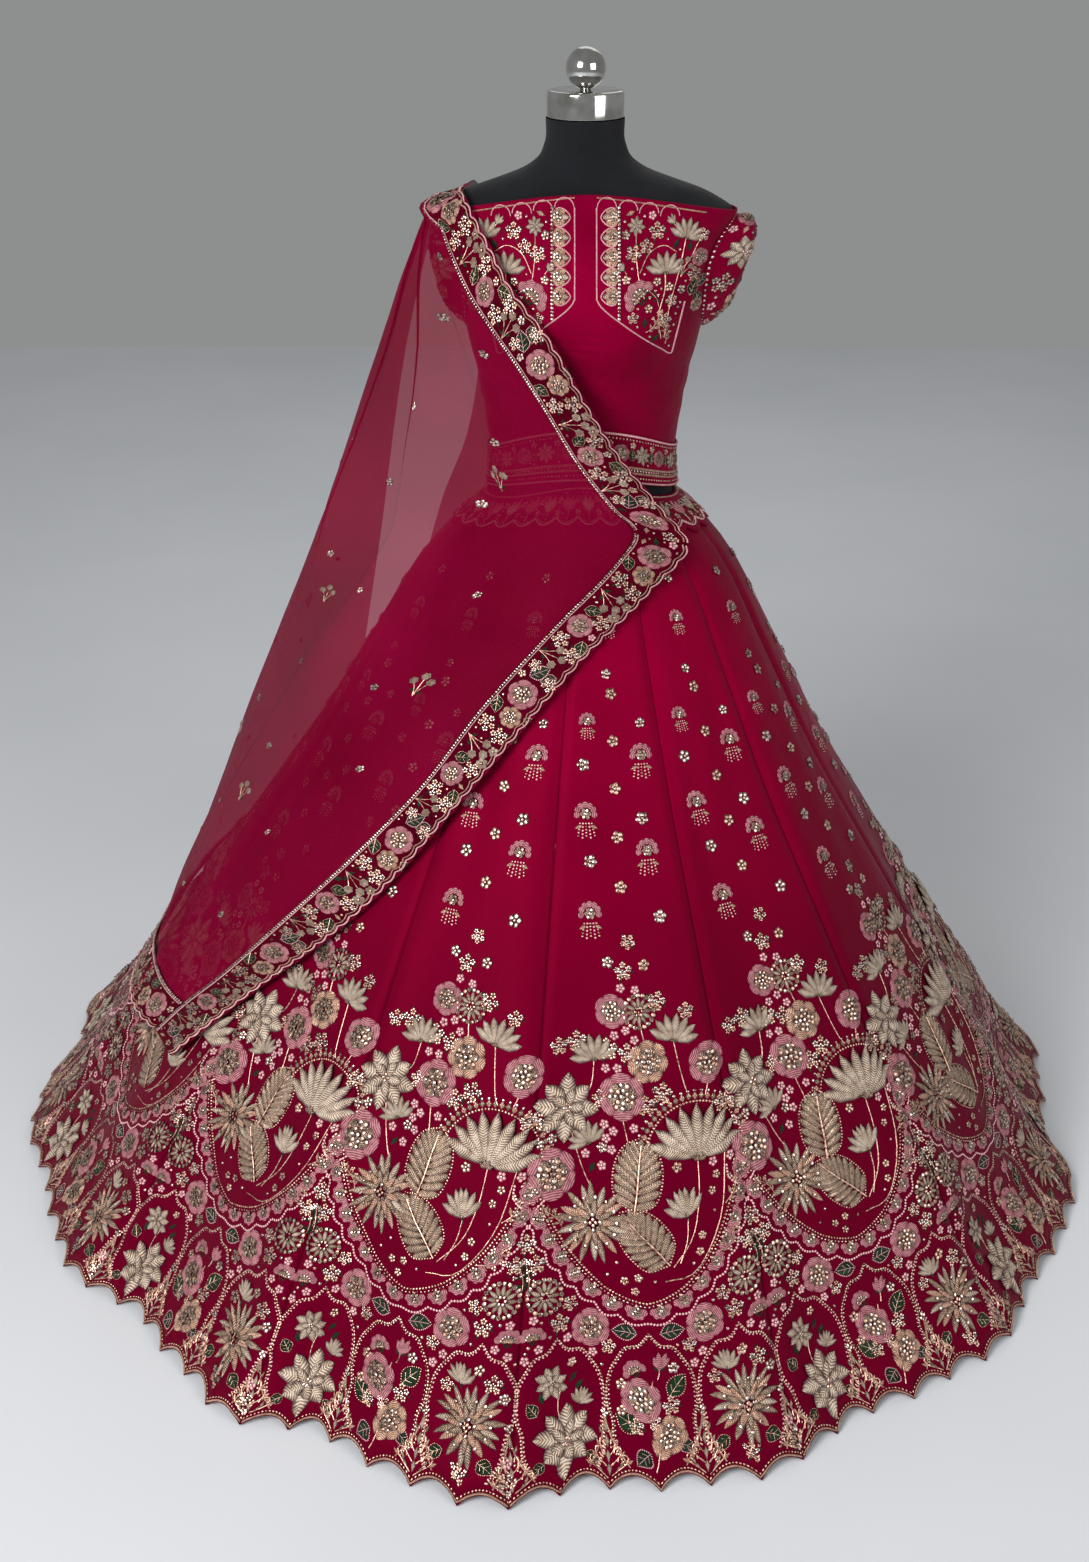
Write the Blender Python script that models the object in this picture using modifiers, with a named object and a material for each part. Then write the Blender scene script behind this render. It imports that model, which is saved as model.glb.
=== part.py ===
# A lehenga choli on a limbless dress form: a flared skirt of fourteen gored panels with a pointed
# scalloped hem, a short blouse with empty sleeves, and a net shawl that crosses from one shoulder
# to the opposite waist and falls back over the skirt.
# Metres, +Z up, +Y away from the front. The dress form's axis is x = 0, y = 0 and the floor z = 0.
import bmesh
import bpy
import numpy as np
from math import pi, radians

# Cloth
SEAM_GAP = 0.0003
SILK_WALL = 0.0015
NET_WALL = 0.0012
BORDER_WALL = 0.0016

# Skirt
PANEL_COUNT = 14
TIPS_PER_PANEL = 6
FIRST_SEAM = radians(-92.5)
PANEL_ANGLE = 2 * pi / PANEL_COUNT
WAIST_HEIGHT = 0.995
WAIST_FRONT_RISE = 0.030
WAIST_EASE = 0.0023
HEM_CENTRE_X = -0.057
HEM_TIP_HEIGHT = 0.0016
HEM_NOTCH = 0.013
HEM_FOLD = 0.015
HEM_FOLD_CHANGE = 0.005
HEM_FOLD_CHANGES = 3
HEM_FOLD_CHANGE_START = 0.8
HEM_FOLD_START = 0.25
HEM_FOLD_GROWTH = 1.6
HEM_TIP_ROUNDNESS = 0.8
HEM_TIP_REACH = 12
FOLD_LEAN = 0.10
FOLD_SHARPNESS = 0.35
CREASE_DEPTH = 0.003
CREASE_HALF_WIDTH = 0.010
CREASE_START = 0.15
PANEL_COLUMNS = 12
PANEL_ROWS = (0.0, 0.035, 0.09, 0.20, 0.37, 0.56, 0.75, 0.89, 1.0)
YOKE_DEPTH = 0.044
YOKE_SCALLOP = 0.008
YOKE_SCALLOPS_PER_PANEL = 2
YOKE_ROWS = 3
YOKE_COLUMNS_PER_SCALLOP = 3
YOKE_LIFT = SEAM_GAP * 3

# How far the skirt has dropped from waist to hem, and how far it has flared by then, as shares
PROFILE = {
    "columns": ("drop", "flare"),
    "rows": (
        (0.000, 0.000),
        (0.035, 0.062),
        (0.080, 0.118),
        (0.200, 0.222),
        (0.350, 0.347),
        (0.500, 0.489),
        (0.650, 0.631),
        (0.800, 0.784),
        (0.920, 0.895),
        (1.000, 1.000),
    ),
}

# The hem seen from above: angle round the skirt in degrees, from +X towards +Y, and its radius
HEM_PLAN = {
    "columns": ("angle", "radius"),
    "rows": (
        (-180, 0.795),
        (-160, 0.785),
        (-140, 0.765),
        (-125, 0.772),
        (-110, 0.795),
        (-92, 0.822),
        (-75, 0.822),
        (-55, 0.815),
        (-35, 0.832),
        (-12, 0.812),
        (15, 0.805),
        (45, 0.800),
        (90, 0.800),
        (135, 0.800),
        (180, 0.795),
    ),
}

# Dress form: height, half width, and depth to the front and to the back of its axis
FORM = {
    "columns": ("height", "half_width", "front", "back"),
    "rows": (
        (0.800, 0.150, 0.100, 0.105),
        (0.850, 0.160, 0.108, 0.118),
        (0.900, 0.155, 0.104, 0.112),
        (0.950, 0.138, 0.094, 0.098),
        (1.000, 0.121, 0.084, 0.086),
        (1.040, 0.116, 0.082, 0.082),
        (1.100, 0.123, 0.090, 0.084),
        (1.160, 0.136, 0.106, 0.090),
        (1.220, 0.148, 0.120, 0.094),
        (1.260, 0.153, 0.119, 0.095),
        (1.300, 0.160, 0.105, 0.093),
        (1.330, 0.172, 0.090, 0.086),
        (1.350, 0.183, 0.076, 0.076),
        (1.363, 0.186, 0.066, 0.068),
        (1.374, 0.170, 0.060, 0.063),
        (1.385, 0.148, 0.057, 0.060),
        (1.398, 0.110, 0.054, 0.056),
        (1.408, 0.082, 0.052, 0.053),
        (1.420, 0.062, 0.050, 0.051),
        (1.440, 0.0505, 0.049, 0.049),
        (1.4695, 0.049, 0.049, 0.049),
    ),
}
FORM_SEGMENTS = 32
CUP_ANGLE = radians(30)
CUP_WIDTH = 0.33
CUP_HEIGHT = 1.235
CUP_TALL = 0.042
CUP_DEPTH = 0.010
CAP_RADIUS = 0.0478
CAP_EDGE = 0.003
CAP_HEIGHT = 0.0315
BALL_RADIUS = 0.0245
STUD_RADIUS = 0.007
BALL_STEPS = 11
POLE_RADIUS = 0.016
BASE_RADIUS = 0.170
BASE_THICKNESS = 0.012
BASE_EDGE = 0.004
TURN_STEPS = 32
SHADE_ANGLE = radians(40)

# Choli
CHOLI_EASE = {
    "columns": ("height", "ease"),
    "rows": (
        (1.000, 0.0060),
        (1.060, 0.0055),
        (1.120, 0.0035),
        (1.160, 0.0013),
        (1.205, 0.0026),
        (1.240, 0.0034),
        (1.300, 0.0040),
        (1.400, 0.0050),
    ),
}
UNDERARM = 1.212
ARMHOLE_TOP = 1.356
ARMHOLE_HALF_DEPTH = 0.042
CHOLI_COLUMNS = 16
NECK_CURVE_ROUNDNESS = 2.2

# Rows of the choli from hem to neck: height at the side, how much higher the row runs at the middle
# of the front, and how much higher the neck's curve lifts it at the middle of front and back
CHOLI_ROWS = {
    "columns": ("height", "front_rise", "neck_rise"),
    "rows": (
        (1.006, 0.027, 0.000),
        (1.034, 0.034, 0.000),
        (1.062, 0.041, 0.000),
        (1.100, 0.026, 0.000),
        (1.160, 0.004, 0.000),
        (1.205, 0.000, 0.000),
        (1.220, 0.000, 0.000),
        (1.240, 0.000, 0.000),
        (1.270, 0.000, 0.000),
        (1.300, 0.000, 0.002),
        (1.330, 0.000, 0.007),
        (1.350, 0.000, 0.016),
        (1.3615, 0.000, 0.0255),
    ),
}
BAND_ROWS = 3
BAND_LIFT = SILK_WALL + SEAM_GAP * 2
BORDER_LIFT = SEAM_GAP * 2

# Sleeve sections from armhole to cuff: outward reach of the middle, place behind the axis, height,
# heading from +X towards +Y in degrees, half thickness, half height and how far the top leans out
SLEEVE_COLUMNS = ("out", "back", "height", "heading", "half_thick", "half_tall", "lean")
SLEEVES = {
    "right": (
        (0.1735, 0.000, 1.284, 0, 0.0412, 0.0705, 0.020),
        (0.1830, 0.013, 1.283, 35, 0.031, 0.068, 0.024),
        (0.1870, 0.034, 1.277, 65, 0.020, 0.067, 0.027),
        (0.1850, 0.058, 1.270, 85, 0.014, 0.065, 0.028),
        (0.1770, 0.082, 1.262, 105, 0.012, 0.062, 0.027),
    ),
    "left": (
        (0.1715, 0.000, 1.284, 0, 0.0412, 0.0705, 0.017),
        (0.1735, 0.010, 1.280, 35, 0.027, 0.060, 0.016),
        (0.1735, 0.026, 1.275, 65, 0.016, 0.058, 0.015),
        (0.1710, 0.042, 1.270, 85, 0.010, 0.056, 0.014),
        (0.1680, 0.056, 1.264, 95, 0.008, 0.054, 0.013),
    ),
}
SLEEVE_SIDES = 16

# Shawl, front fall. Each row is a line across it: the outer and the inner edge of its border, and
# how far the free field has fallen by then from the shoulder to its lower end
SHAWL_ROWS = {
    "columns": ("row", "outer", "inner", "fall"),
    "rows": (
        ("shoulder", (-0.150, 0.004, 1.3857), (-0.181, 0.006, 1.377), 0.000),
        ("collar", (-0.149, -0.040, 1.3840), (-0.177, -0.046, 1.340), 0.035),
        ("chest", (-0.115, -0.092, 1.3300), (-0.148, -0.086, 1.278), 0.090),
        ("bust top", (-0.088, -0.118, 1.2840), (-0.118, -0.112, 1.236), 0.130),
        ("bust", (-0.044, -0.142, 1.2320), (-0.088, -0.126, 1.196), 0.170),
        ("under bust", (0.000, -0.142, 1.1550), (-0.050, -0.130, 1.137), 0.230),
        ("midriff", (0.045, -0.128, 1.0800), (-0.010, -0.126, 1.068), 0.300),
        ("waist", (0.098, -0.116, 1.0100), (0.035, -0.126, 1.008), 0.360),
        ("pin", (0.137, -0.112, 0.9540), (0.062, -0.138, 0.980), 0.400),
        ("turn", (0.085, -0.176, 0.9150), (0.040, -0.168, 0.951), 0.430),
        ("hip", (-0.005, -0.246, 0.8430), (-0.051, -0.227, 0.871), 0.500),
        ("thigh", (-0.088, -0.289, 0.7570), (-0.133, -0.254, 0.783), 0.570),
        ("knee top", (-0.166, -0.316, 0.6690), (-0.208, -0.276, 0.686), 0.660),
        ("knee", (-0.250, -0.330, 0.5700), (-0.299, -0.281, 0.588), 0.750),
        ("calf", (-0.326, -0.331, 0.4940), (-0.377, -0.274, 0.507), 0.820),
        ("shin", (-0.430, -0.316, 0.4020), (-0.487, -0.257, 0.391), 0.900),
        ("end band", (-0.515, -0.304, 0.3240), (-0.553, -0.242, 0.327), 0.940),
        ("end", (-0.568, -0.290, 0.2700), (-0.600, -0.232, 0.275), 1.000),
    ),
}

# The shawl's open side over the flank, and its rear edge, against how far the field has fallen
SHAWL_FLANK = {
    "columns": ("fall", "x", "y", "height"),
    "rows": (
        (0.000, -0.186, 0.018, 1.3735),
        (0.035, -0.202, 0.012, 1.3420),
        (0.090, -0.222, 0.006, 1.2820),
        (0.170, -0.243, 0.008, 1.1950),
        (0.300, -0.291, 0.012, 1.0530),
        (0.430, -0.346, 0.015, 0.9110),
        (0.570, -0.420, 0.018, 0.7590),
        (0.750, -0.518, 0.022, 0.5620),
        (0.900, -0.590, 0.020, 0.3990),
        (0.940, -0.604, 0.010, 0.3550),
        (1.000, -0.638, 0.000, 0.2900),
    ),
}
SHAWL_REAR = {
    "columns": ("fall", "x", "y", "height"),
    "rows": (
        (0.000, -0.178, 0.042, 1.3710),
        (0.060, -0.200, 0.060, 1.3100),
        (0.150, -0.226, 0.090, 1.2150),
        (0.500, -0.300, 0.240, 0.8320),
        (1.000, -0.405, 0.440, 0.2900),
    ),
}
SHAWL_ROW_STEPS = 2
SHAWL_BORDER_COLUMNS = 2
SHAWL_FIELD_COLUMNS = 14
SHAWL_FIELD_CROWDING = 1.35
SHAWL_RIPPLES = 4
SHAWL_RIPPLE_DEPTH = 0.006
SHAWL_RIPPLE_RISE = 0.8
SHAWL_LIFT = 0.0065
SHAWL_SEAT_HEIGHT = 1.376
SHAWL_SHOULDER_LIFT = 0.0080
SHAWL_SHOULDER_HEIGHT = 1.365
SHAWL_SHOULDER_SPREAD = 0.030
SHAWL_WAIST_LIFT = 0.010
SHAWL_WAIST_SPREAD = 0.070
SHAWL_WAIST_OVERLAP = 0.02
SHAWL_FOLD_COVER = 1.25
SHAWL_SKIRT_LIFT = 1.2
SHAWL_END_ROW = "end band"
SHAWL_PIN_ROW = "pin"
BORDER_JOIN = 0.04

# Shawl, back fall: the edge by the spine and the edge by the side
BACK_FALL_ROWS = {
    "columns": ("row", "spine", "side"),
    "rows": (
        ("shoulder", (-0.148, 0.0053, 1.3865), (-0.172, 0.0066, 1.380)),
        ("shoulder back", (-0.138, 0.048, 1.387), (-0.162, 0.054, 1.372)),
        ("blade top", (-0.120, 0.086, 1.345), (-0.150, 0.086, 1.330)),
        ("blade", (-0.095, 0.110, 1.260), (-0.138, 0.106, 1.245)),
        ("mid back", (-0.070, 0.114, 1.150), (-0.140, 0.118, 1.140)),
        ("back waist", (-0.050, 0.124, 1.040), (-0.160, 0.140, 1.030)),
        ("back hip", (-0.030, 0.190, 0.930), (-0.200, 0.190, 0.920)),
        ("seat", (-0.010, 0.290, 0.780), (-0.240, 0.270, 0.770)),
        ("back thigh", (0.010, 0.375, 0.640), (-0.270, 0.345, 0.630)),
        ("back end band", (0.019, 0.430, 0.560), (-0.290, 0.385, 0.550)),
        ("back end", (0.025, 0.470, 0.505), (-0.305, 0.415, 0.495)),
    ),
}
BACK_FALL_COLUMNS_ACROSS = 8
BACK_FALL_END_ROW = "back end band"
BACK_RIPPLE_DEPTH = 0.004
BACK_RIPPLES = 3

COLLECTION_NAME = "lehenga_choli_on_dress_form"


def column(table, name):
    """One named column of a table."""
    place = table["columns"].index(name)
    return np.array([row[place] for row in table["rows"]], float)


def smooth_lookup(value, table, name):
    """A smooth curve through one named column of a table, looked up by its first column."""
    xs = column(table, table["columns"][0])
    ys = column(table, name)
    slopes = np.gradient(ys, xs)
    value = np.clip(value, xs[0], xs[-1])
    i = np.clip(np.searchsorted(xs, value) - 1, 0, len(xs) - 2)
    step = xs[i + 1] - xs[i]
    t = (value - xs[i]) / step
    near = (2 * t**3 - 3 * t**2 + 1) * ys[i] + (t**3 - 2 * t**2 + t) * step * slopes[i]
    far = (3 * t**2 - 2 * t**3) * ys[i + 1] + (t**3 - t**2) * step * slopes[i + 1]
    return near + far


def front_share(angle):
    """1 at the middle of the front, 0 at the sides and all round the back."""
    return np.clip(-np.sin(angle), 0, 1) ** 2


def saw(phase):
    """A soft sawtooth that rises across a panel and falls back over its seam."""
    turn = 2 * pi * (phase - FOLD_LEAN)
    return -(np.sin(turn) + FOLD_SHARPNESS * np.sin(2 * turn))


def skirt_base(angle, drop):
    """Centre, radius and height of the skirt's smooth outside, with no folds."""
    degrees = (np.degrees(angle) + 180) % 360 - 180
    hem_radius = smooth_lookup(degrees, HEM_PLAN, "radius")
    waist_height = WAIST_HEIGHT + WAIST_FRONT_RISE * front_share(angle)
    wide = smooth_lookup(waist_height, FORM, "half_width") + WAIST_EASE
    front = smooth_lookup(waist_height, FORM, "front") + WAIST_EASE
    back = smooth_lookup(waist_height, FORM, "back") + WAIST_EASE
    deep = np.where(np.sin(angle) < 0, front, back)
    waist_radius = wide * deep / np.hypot(deep * np.cos(angle), wide * np.sin(angle))
    flare = smooth_lookup(drop, PROFILE, "flare")
    radius = waist_radius + (hem_radius - waist_radius) * flare
    return HEM_CENTRE_X * drop, radius, waist_height * (1 - drop)


def fold_depth(angle, drop):
    """How deep the hem's folds stand at a place on the skirt."""
    grown = np.clip((drop - HEM_FOLD_START) / (1 - HEM_FOLD_START), 0, 1) ** HEM_FOLD_GROWTH
    change = np.sin(HEM_FOLD_CHANGES * angle + HEM_FOLD_CHANGE_START)
    return grown * (HEM_FOLD + HEM_FOLD_CHANGE * change)


def skirt_point(angle, share):
    """A point on the skirt: angle round it, and share of the way from waist to hem."""
    phase = ((angle - FIRST_SEAM) / PANEL_ANGLE) % 1.0
    tip = np.abs(np.sin(pi * phase * TIPS_PER_PANEL)) ** HEM_TIP_ROUNDNESS
    lift = HEM_TIP_HEIGHT + HEM_NOTCH * tip
    drop = share - lift / WAIST_HEIGHT * share**HEM_TIP_REACH
    centre, radius, height = skirt_base(angle, drop)
    from_seam = np.minimum(phase, 1 - phase) * PANEL_ANGLE * radius
    crease = CREASE_DEPTH * np.clip(drop / CREASE_START, 0, 1)
    crease = crease * np.exp(-((from_seam / CREASE_HALF_WIDTH) ** 2))
    radius = radius + fold_depth(angle, drop) * saw(phase) - crease
    return np.stack([centre + radius * np.cos(angle), radius * np.sin(angle), height], -1)


def form_point(angle, height, ease):
    """A point on the dress form's torso, moved out by an ease."""
    wide = smooth_lookup(height, FORM, "half_width") + ease
    front = smooth_lookup(height, FORM, "front")
    back = smooth_lookup(height, FORM, "back")
    bump = np.exp(-(((height - CUP_HEIGHT) / CUP_TALL) ** 2))
    for side in (-1, 1):
        middle = -pi / 2 + side * CUP_ANGLE
        front = front + CUP_DEPTH * bump * np.exp(-(((angle - middle) / CUP_WIDTH) ** 2))
    deep = np.where(np.sin(angle) < 0, front, back) + ease
    return np.stack([wide * np.cos(angle), deep * np.sin(angle), height + 0 * angle], -1)


def grid_normals(grid, closed=False):
    """The outward normals of a grid of points whose rows run down the cloth."""
    if closed:
        across = np.roll(grid, -1, 1) - np.roll(grid, 1, 1)
    else:
        across = np.gradient(grid, axis=1)
    down = np.gradient(grid, axis=0)
    normals = np.cross(across, down)
    normals /= np.linalg.norm(normals, axis=-1, keepdims=True)
    outward = grid - grid.mean(axis=1, keepdims=True) if closed else grid * (1, 1, 0)
    return normals if (normals * outward).sum() > 0 else -normals


def material(name, colour, roughness, metallic=0.0):
    made = bpy.data.materials.new(name)
    made.use_nodes = True
    shader = made.node_tree.nodes["Principled BSDF"]
    shader.inputs["Base Color"].default_value = (*colour, 1)
    shader.inputs["Roughness"].default_value = roughness
    shader.inputs["Metallic"].default_value = metallic
    return made


def keep(name, mesh, collection, finish):
    """Puts a finished mesh in the object's collection under its node name."""
    mesh.shade_smooth()
    mesh.set_sharp_from_angle(angle=SHADE_ANGLE)
    made = bpy.data.objects.new(name, mesh)
    made.data.materials.append(finish)
    collection.objects.link(made)
    return made


def wall(name, grid, normals, inside, outside, collection, finish, closed=False):
    """A closed cloth wall between two distances from a grid of points."""
    rows, columns = grid.shape[:2]
    skins = np.stack([grid + normals * outside, grid + normals * inside])
    points = skins.reshape(-1, 3)
    index = np.arange(len(points)).reshape(2, rows, columns)
    faces = []
    wrap = columns if closed else columns - 1
    for r in range(rows - 1):
        for c in range(wrap):
            d = (c + 1) % columns
            faces.append((index[0, r, c], index[0, r + 1, c], index[0, r + 1, d], index[0, r, d]))
            faces.append((index[1, r, c], index[1, r, d], index[1, r + 1, d], index[1, r + 1, c]))
    for r in (0, rows - 1):
        for c in range(wrap):
            d = (c + 1) % columns
            faces.append((index[0, r, c], index[0, r, d], index[1, r, d], index[1, r, c]))
    if not closed:
        for c in (0, columns - 1):
            for r in range(rows - 1):
                faces.append((index[0, r, c], index[0, r + 1, c], index[1, r + 1, c], index[1, r, c]))
    mesh = bpy.data.meshes.new(name)
    mesh.from_pydata([tuple(p) for p in points], [], [tuple(int(i) for i in f) for f in faces])
    turned = bmesh.new()
    turned.from_mesh(mesh)
    bmesh.ops.recalc_face_normals(turned, faces=turned.faces[:])
    turned.to_mesh(mesh)
    turned.free()
    return keep(name, mesh, collection, finish)


def turned_piece(name, profile, collection, finish):
    """A solid turned round the vertical axis from a profile of (radius, height) points."""
    mesh = bpy.data.meshes.new(name)
    points = [(radius, 0, height) for radius, height in profile]
    mesh.from_pydata(points, [(i, i + 1) for i in range(len(points) - 1)], [])
    made = bpy.data.objects.new(name, mesh)
    made.data.materials.append(finish)
    collection.objects.link(made)
    screw = made.modifiers.new("turn", "SCREW")
    screw.steps = TURN_STEPS
    screw.render_steps = TURN_STEPS
    screw.use_merge_vertices = True
    screw.merge_threshold = 0.0001
    return made


def build_form(collection, jersey, chrome, enamel):
    """The limbless dress form: torso with neck, neck cap, ball finial and stand."""
    angles = np.arange(FORM_SEGMENTS) * 2 * pi / FORM_SEGMENTS
    heights = column(FORM, "height")
    rings = form_point(angles[None, :] - pi, heights[:, None] + 0 * angles[None, :], 0.0)
    count = len(heights)
    index = np.arange(count * FORM_SEGMENTS).reshape(count, FORM_SEGMENTS)
    faces = []
    for r in range(count - 1):
        for c in range(FORM_SEGMENTS):
            d = (c + 1) % FORM_SEGMENTS
            faces.append((index[r, c], index[r, d], index[r + 1, d], index[r + 1, c]))
    faces.append(tuple(index[0, ::-1]))
    faces.append(tuple(index[-1]))
    mesh = bpy.data.meshes.new("form_torso")
    mesh.from_pydata(rings.reshape(-1, 3).tolist(), [], [tuple(int(i) for i in f) for f in faces])
    keep("form_torso", mesh, collection, jersey)

    neck_top = heights[-1]
    cap_foot = neck_top + SEAM_GAP
    cap_top = cap_foot + CAP_HEIGHT
    cap = (
        (0, cap_top),
        (CAP_RADIUS - CAP_EDGE, cap_top),
        (CAP_RADIUS - CAP_EDGE * 0.3, cap_top - CAP_EDGE * 0.3),
        (CAP_RADIUS, cap_top - CAP_EDGE),
        (CAP_RADIUS, cap_foot),
        (0, cap_foot),
    )
    turned_piece("form_neck_cap", cap, collection, chrome)

    ball_foot = cap_top + SEAM_GAP
    ball_centre = ball_foot + BALL_RADIUS
    foot_angle = np.arcsin(STUD_RADIUS / BALL_RADIUS)
    ball = [(0, ball_centre + BALL_RADIUS)]
    for step in range(1, BALL_STEPS):
        turn = step * (pi - foot_angle) / BALL_STEPS
        ball.append((BALL_RADIUS * np.sin(turn), ball_centre + BALL_RADIUS * np.cos(turn)))
    ball.append((STUD_RADIUS, ball_foot))
    ball.append((0, ball_foot))
    turned_piece("form_ball", ball, collection, chrome)

    pole_top = heights[0] - SEAM_GAP
    stand = (
        (0, pole_top),
        (POLE_RADIUS, pole_top),
        (POLE_RADIUS, BASE_THICKNESS),
        (BASE_RADIUS - BASE_EDGE, BASE_THICKNESS),
        (BASE_RADIUS, BASE_THICKNESS - BASE_EDGE),
        (BASE_RADIUS, 0),
        (0, 0),
    )
    turned_piece("form_stand", stand, collection, enamel)


def build_skirt(collection, silk, embroidery):
    """Fourteen gored panels from waist to floor, and the scalloped yoke round their tops."""
    shares = np.array(PANEL_ROWS)[:, None]
    for number in range(PANEL_COUNT):
        start = FIRST_SEAM + number * PANEL_ANGLE
        inner = np.arange(1, PANEL_COLUMNS) / PANEL_COLUMNS
        middle = start + PANEL_ANGLE / 2
        _, radius, _ = skirt_base(np.full_like(shares, middle), shares)
        half_gap = SEAM_GAP / 2 / radius
        beyond = PANEL_ANGLE / PANEL_COLUMNS
        first = start + half_gap
        last = start + PANEL_ANGLE - half_gap
        columns = [first - beyond, first]
        columns += [start + PANEL_ANGLE * share + 0 * shares for share in inner]
        columns += [last, last + beyond]
        angles = np.concatenate(columns, 1)
        grid = skirt_point(angles, shares + 0 * angles)
        normals = grid_normals(grid)
        wall(
            f"kali_{number + 1:02d}",
            grid[:, 1:-1],
            normals[:, 1:-1],
            -SILK_WALL,
            0.0,
            collection,
            silk,
        )

    columns = PANEL_COUNT * YOKE_SCALLOPS_PER_PANEL * YOKE_COLUMNS_PER_SCALLOP
    angles = FIRST_SEAM + np.arange(columns) * 2 * pi / columns
    scallop = np.abs(np.sin(pi * np.arange(columns) / YOKE_COLUMNS_PER_SCALLOP))
    depth = YOKE_DEPTH - YOKE_SCALLOP * (1 - scallop)
    down = np.linspace(0, 1, YOKE_ROWS + 1)[:, None]
    grid = skirt_point(angles[None, :] + 0 * down, down * depth[None, :])
    normals = grid_normals(grid, closed=True)
    wall(
        "skirt_yoke",
        grid,
        normals,
        YOKE_LIFT,
        YOKE_LIFT + BORDER_WALL,
        collection,
        embroidery,
        closed=True,
    )


def choli_ease(height):
    return smooth_lookup(height, CHOLI_EASE, "ease")


def choli_grid(middle, front):
    """Points of the choli's front or back, with one column past each edge for the normals."""
    across = np.linspace(-1, 1, CHOLI_COLUMNS + 1)
    step = across[1] - across[0]
    across = np.concatenate([[across[0] - step], across, [across[-1] + step]])
    rough = column(CHOLI_ROWS, "height")[:, None]
    front_rise = column(CHOLI_ROWS, "front_rise")[:, None]
    neck_rise = column(CHOLI_ROWS, "neck_rise")[:, None]
    hole = (rough - (UNDERARM + ARMHOLE_TOP) / 2) / ((ARMHOLE_TOP - UNDERARM) / 2)
    opening = ARMHOLE_HALF_DEPTH * np.sqrt(np.clip(1 - hole**2, 0, 1))
    depth = smooth_lookup(rough, FORM, "front" if front else "back")
    seam = SEAM_GAP / 2 / depth
    side = pi / 2 - np.arcsin(np.clip(opening / depth, 0, 0.9)) - seam
    angles = middle + across[None, :] * side
    toward_middle = np.clip(np.cos(angles - middle), 0, 1) ** NECK_CURVE_ROUNDNESS
    height = rough + front_rise * front_share(angles) + neck_rise * toward_middle
    return form_point(angles, height, choli_ease(height))


def build_choli(collection, silk, embroidery):
    """Front, back, hem band and the two empty sleeves."""
    for name, middle, front in (("choli_front", -pi / 2, True), ("choli_back", pi / 2, False)):
        grid = choli_grid(middle, front)
        normals = grid_normals(grid)
        wall(name, grid[:, 1:-1], normals[:, 1:-1], 0.0, SILK_WALL, collection, silk)

    angles = np.arange(2 * CHOLI_COLUMNS)[None, :] * pi / CHOLI_COLUMNS - pi
    rough = column(CHOLI_ROWS, "height")[:BAND_ROWS, None]
    front_rise = column(CHOLI_ROWS, "front_rise")[:BAND_ROWS, None]
    height = rough + front_rise * front_share(angles)
    grid = form_point(angles + 0 * height, height, choli_ease(height))
    normals = grid_normals(grid, closed=True)
    wall(
        "choli_hem_band",
        grid,
        normals,
        BAND_LIFT,
        BAND_LIFT + BORDER_WALL,
        collection,
        embroidery,
        closed=True,
    )

    turn = np.arange(SLEEVE_SIDES) * 2 * pi / SLEEVE_SIDES
    for side, sign in (("right", 1), ("left", -1)):
        rows = []
        for values in SLEEVES[side]:
            section = dict(zip(SLEEVE_COLUMNS, values))
            heading = radians(section["heading"])
            across = np.array([-np.sin(heading), np.cos(heading), 0]) * section["half_thick"]
            upright = np.array([section["lean"], 0, section["half_tall"]])
            middle = np.array([section["out"], section["back"], section["height"]])
            ring = middle + np.cos(turn)[:, None] * across + np.sin(turn)[:, None] * upright
            rows.append(ring)
        grid = np.array(rows)
        back, height = grid[0, :, 1], grid[0, :, 2]
        to_front = smooth_lookup(height, FORM, "front")
        to_back = smooth_lookup(height, FORM, "back")
        round_body = np.sqrt(1 - (back / np.where(back < 0, to_front, to_back)) ** 2)
        half_width = smooth_lookup(height, FORM, "half_width")
        grid[0, :, 0] = half_width * round_body + choli_ease(height)
        grid = grid * (sign, 1, 1)
        normals = grid_normals(grid, closed=True)
        name = f"choli_sleeve_{side}"
        wall(name, grid, normals, -SILK_WALL, 0.0, collection, embroidery, closed=True)


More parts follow.
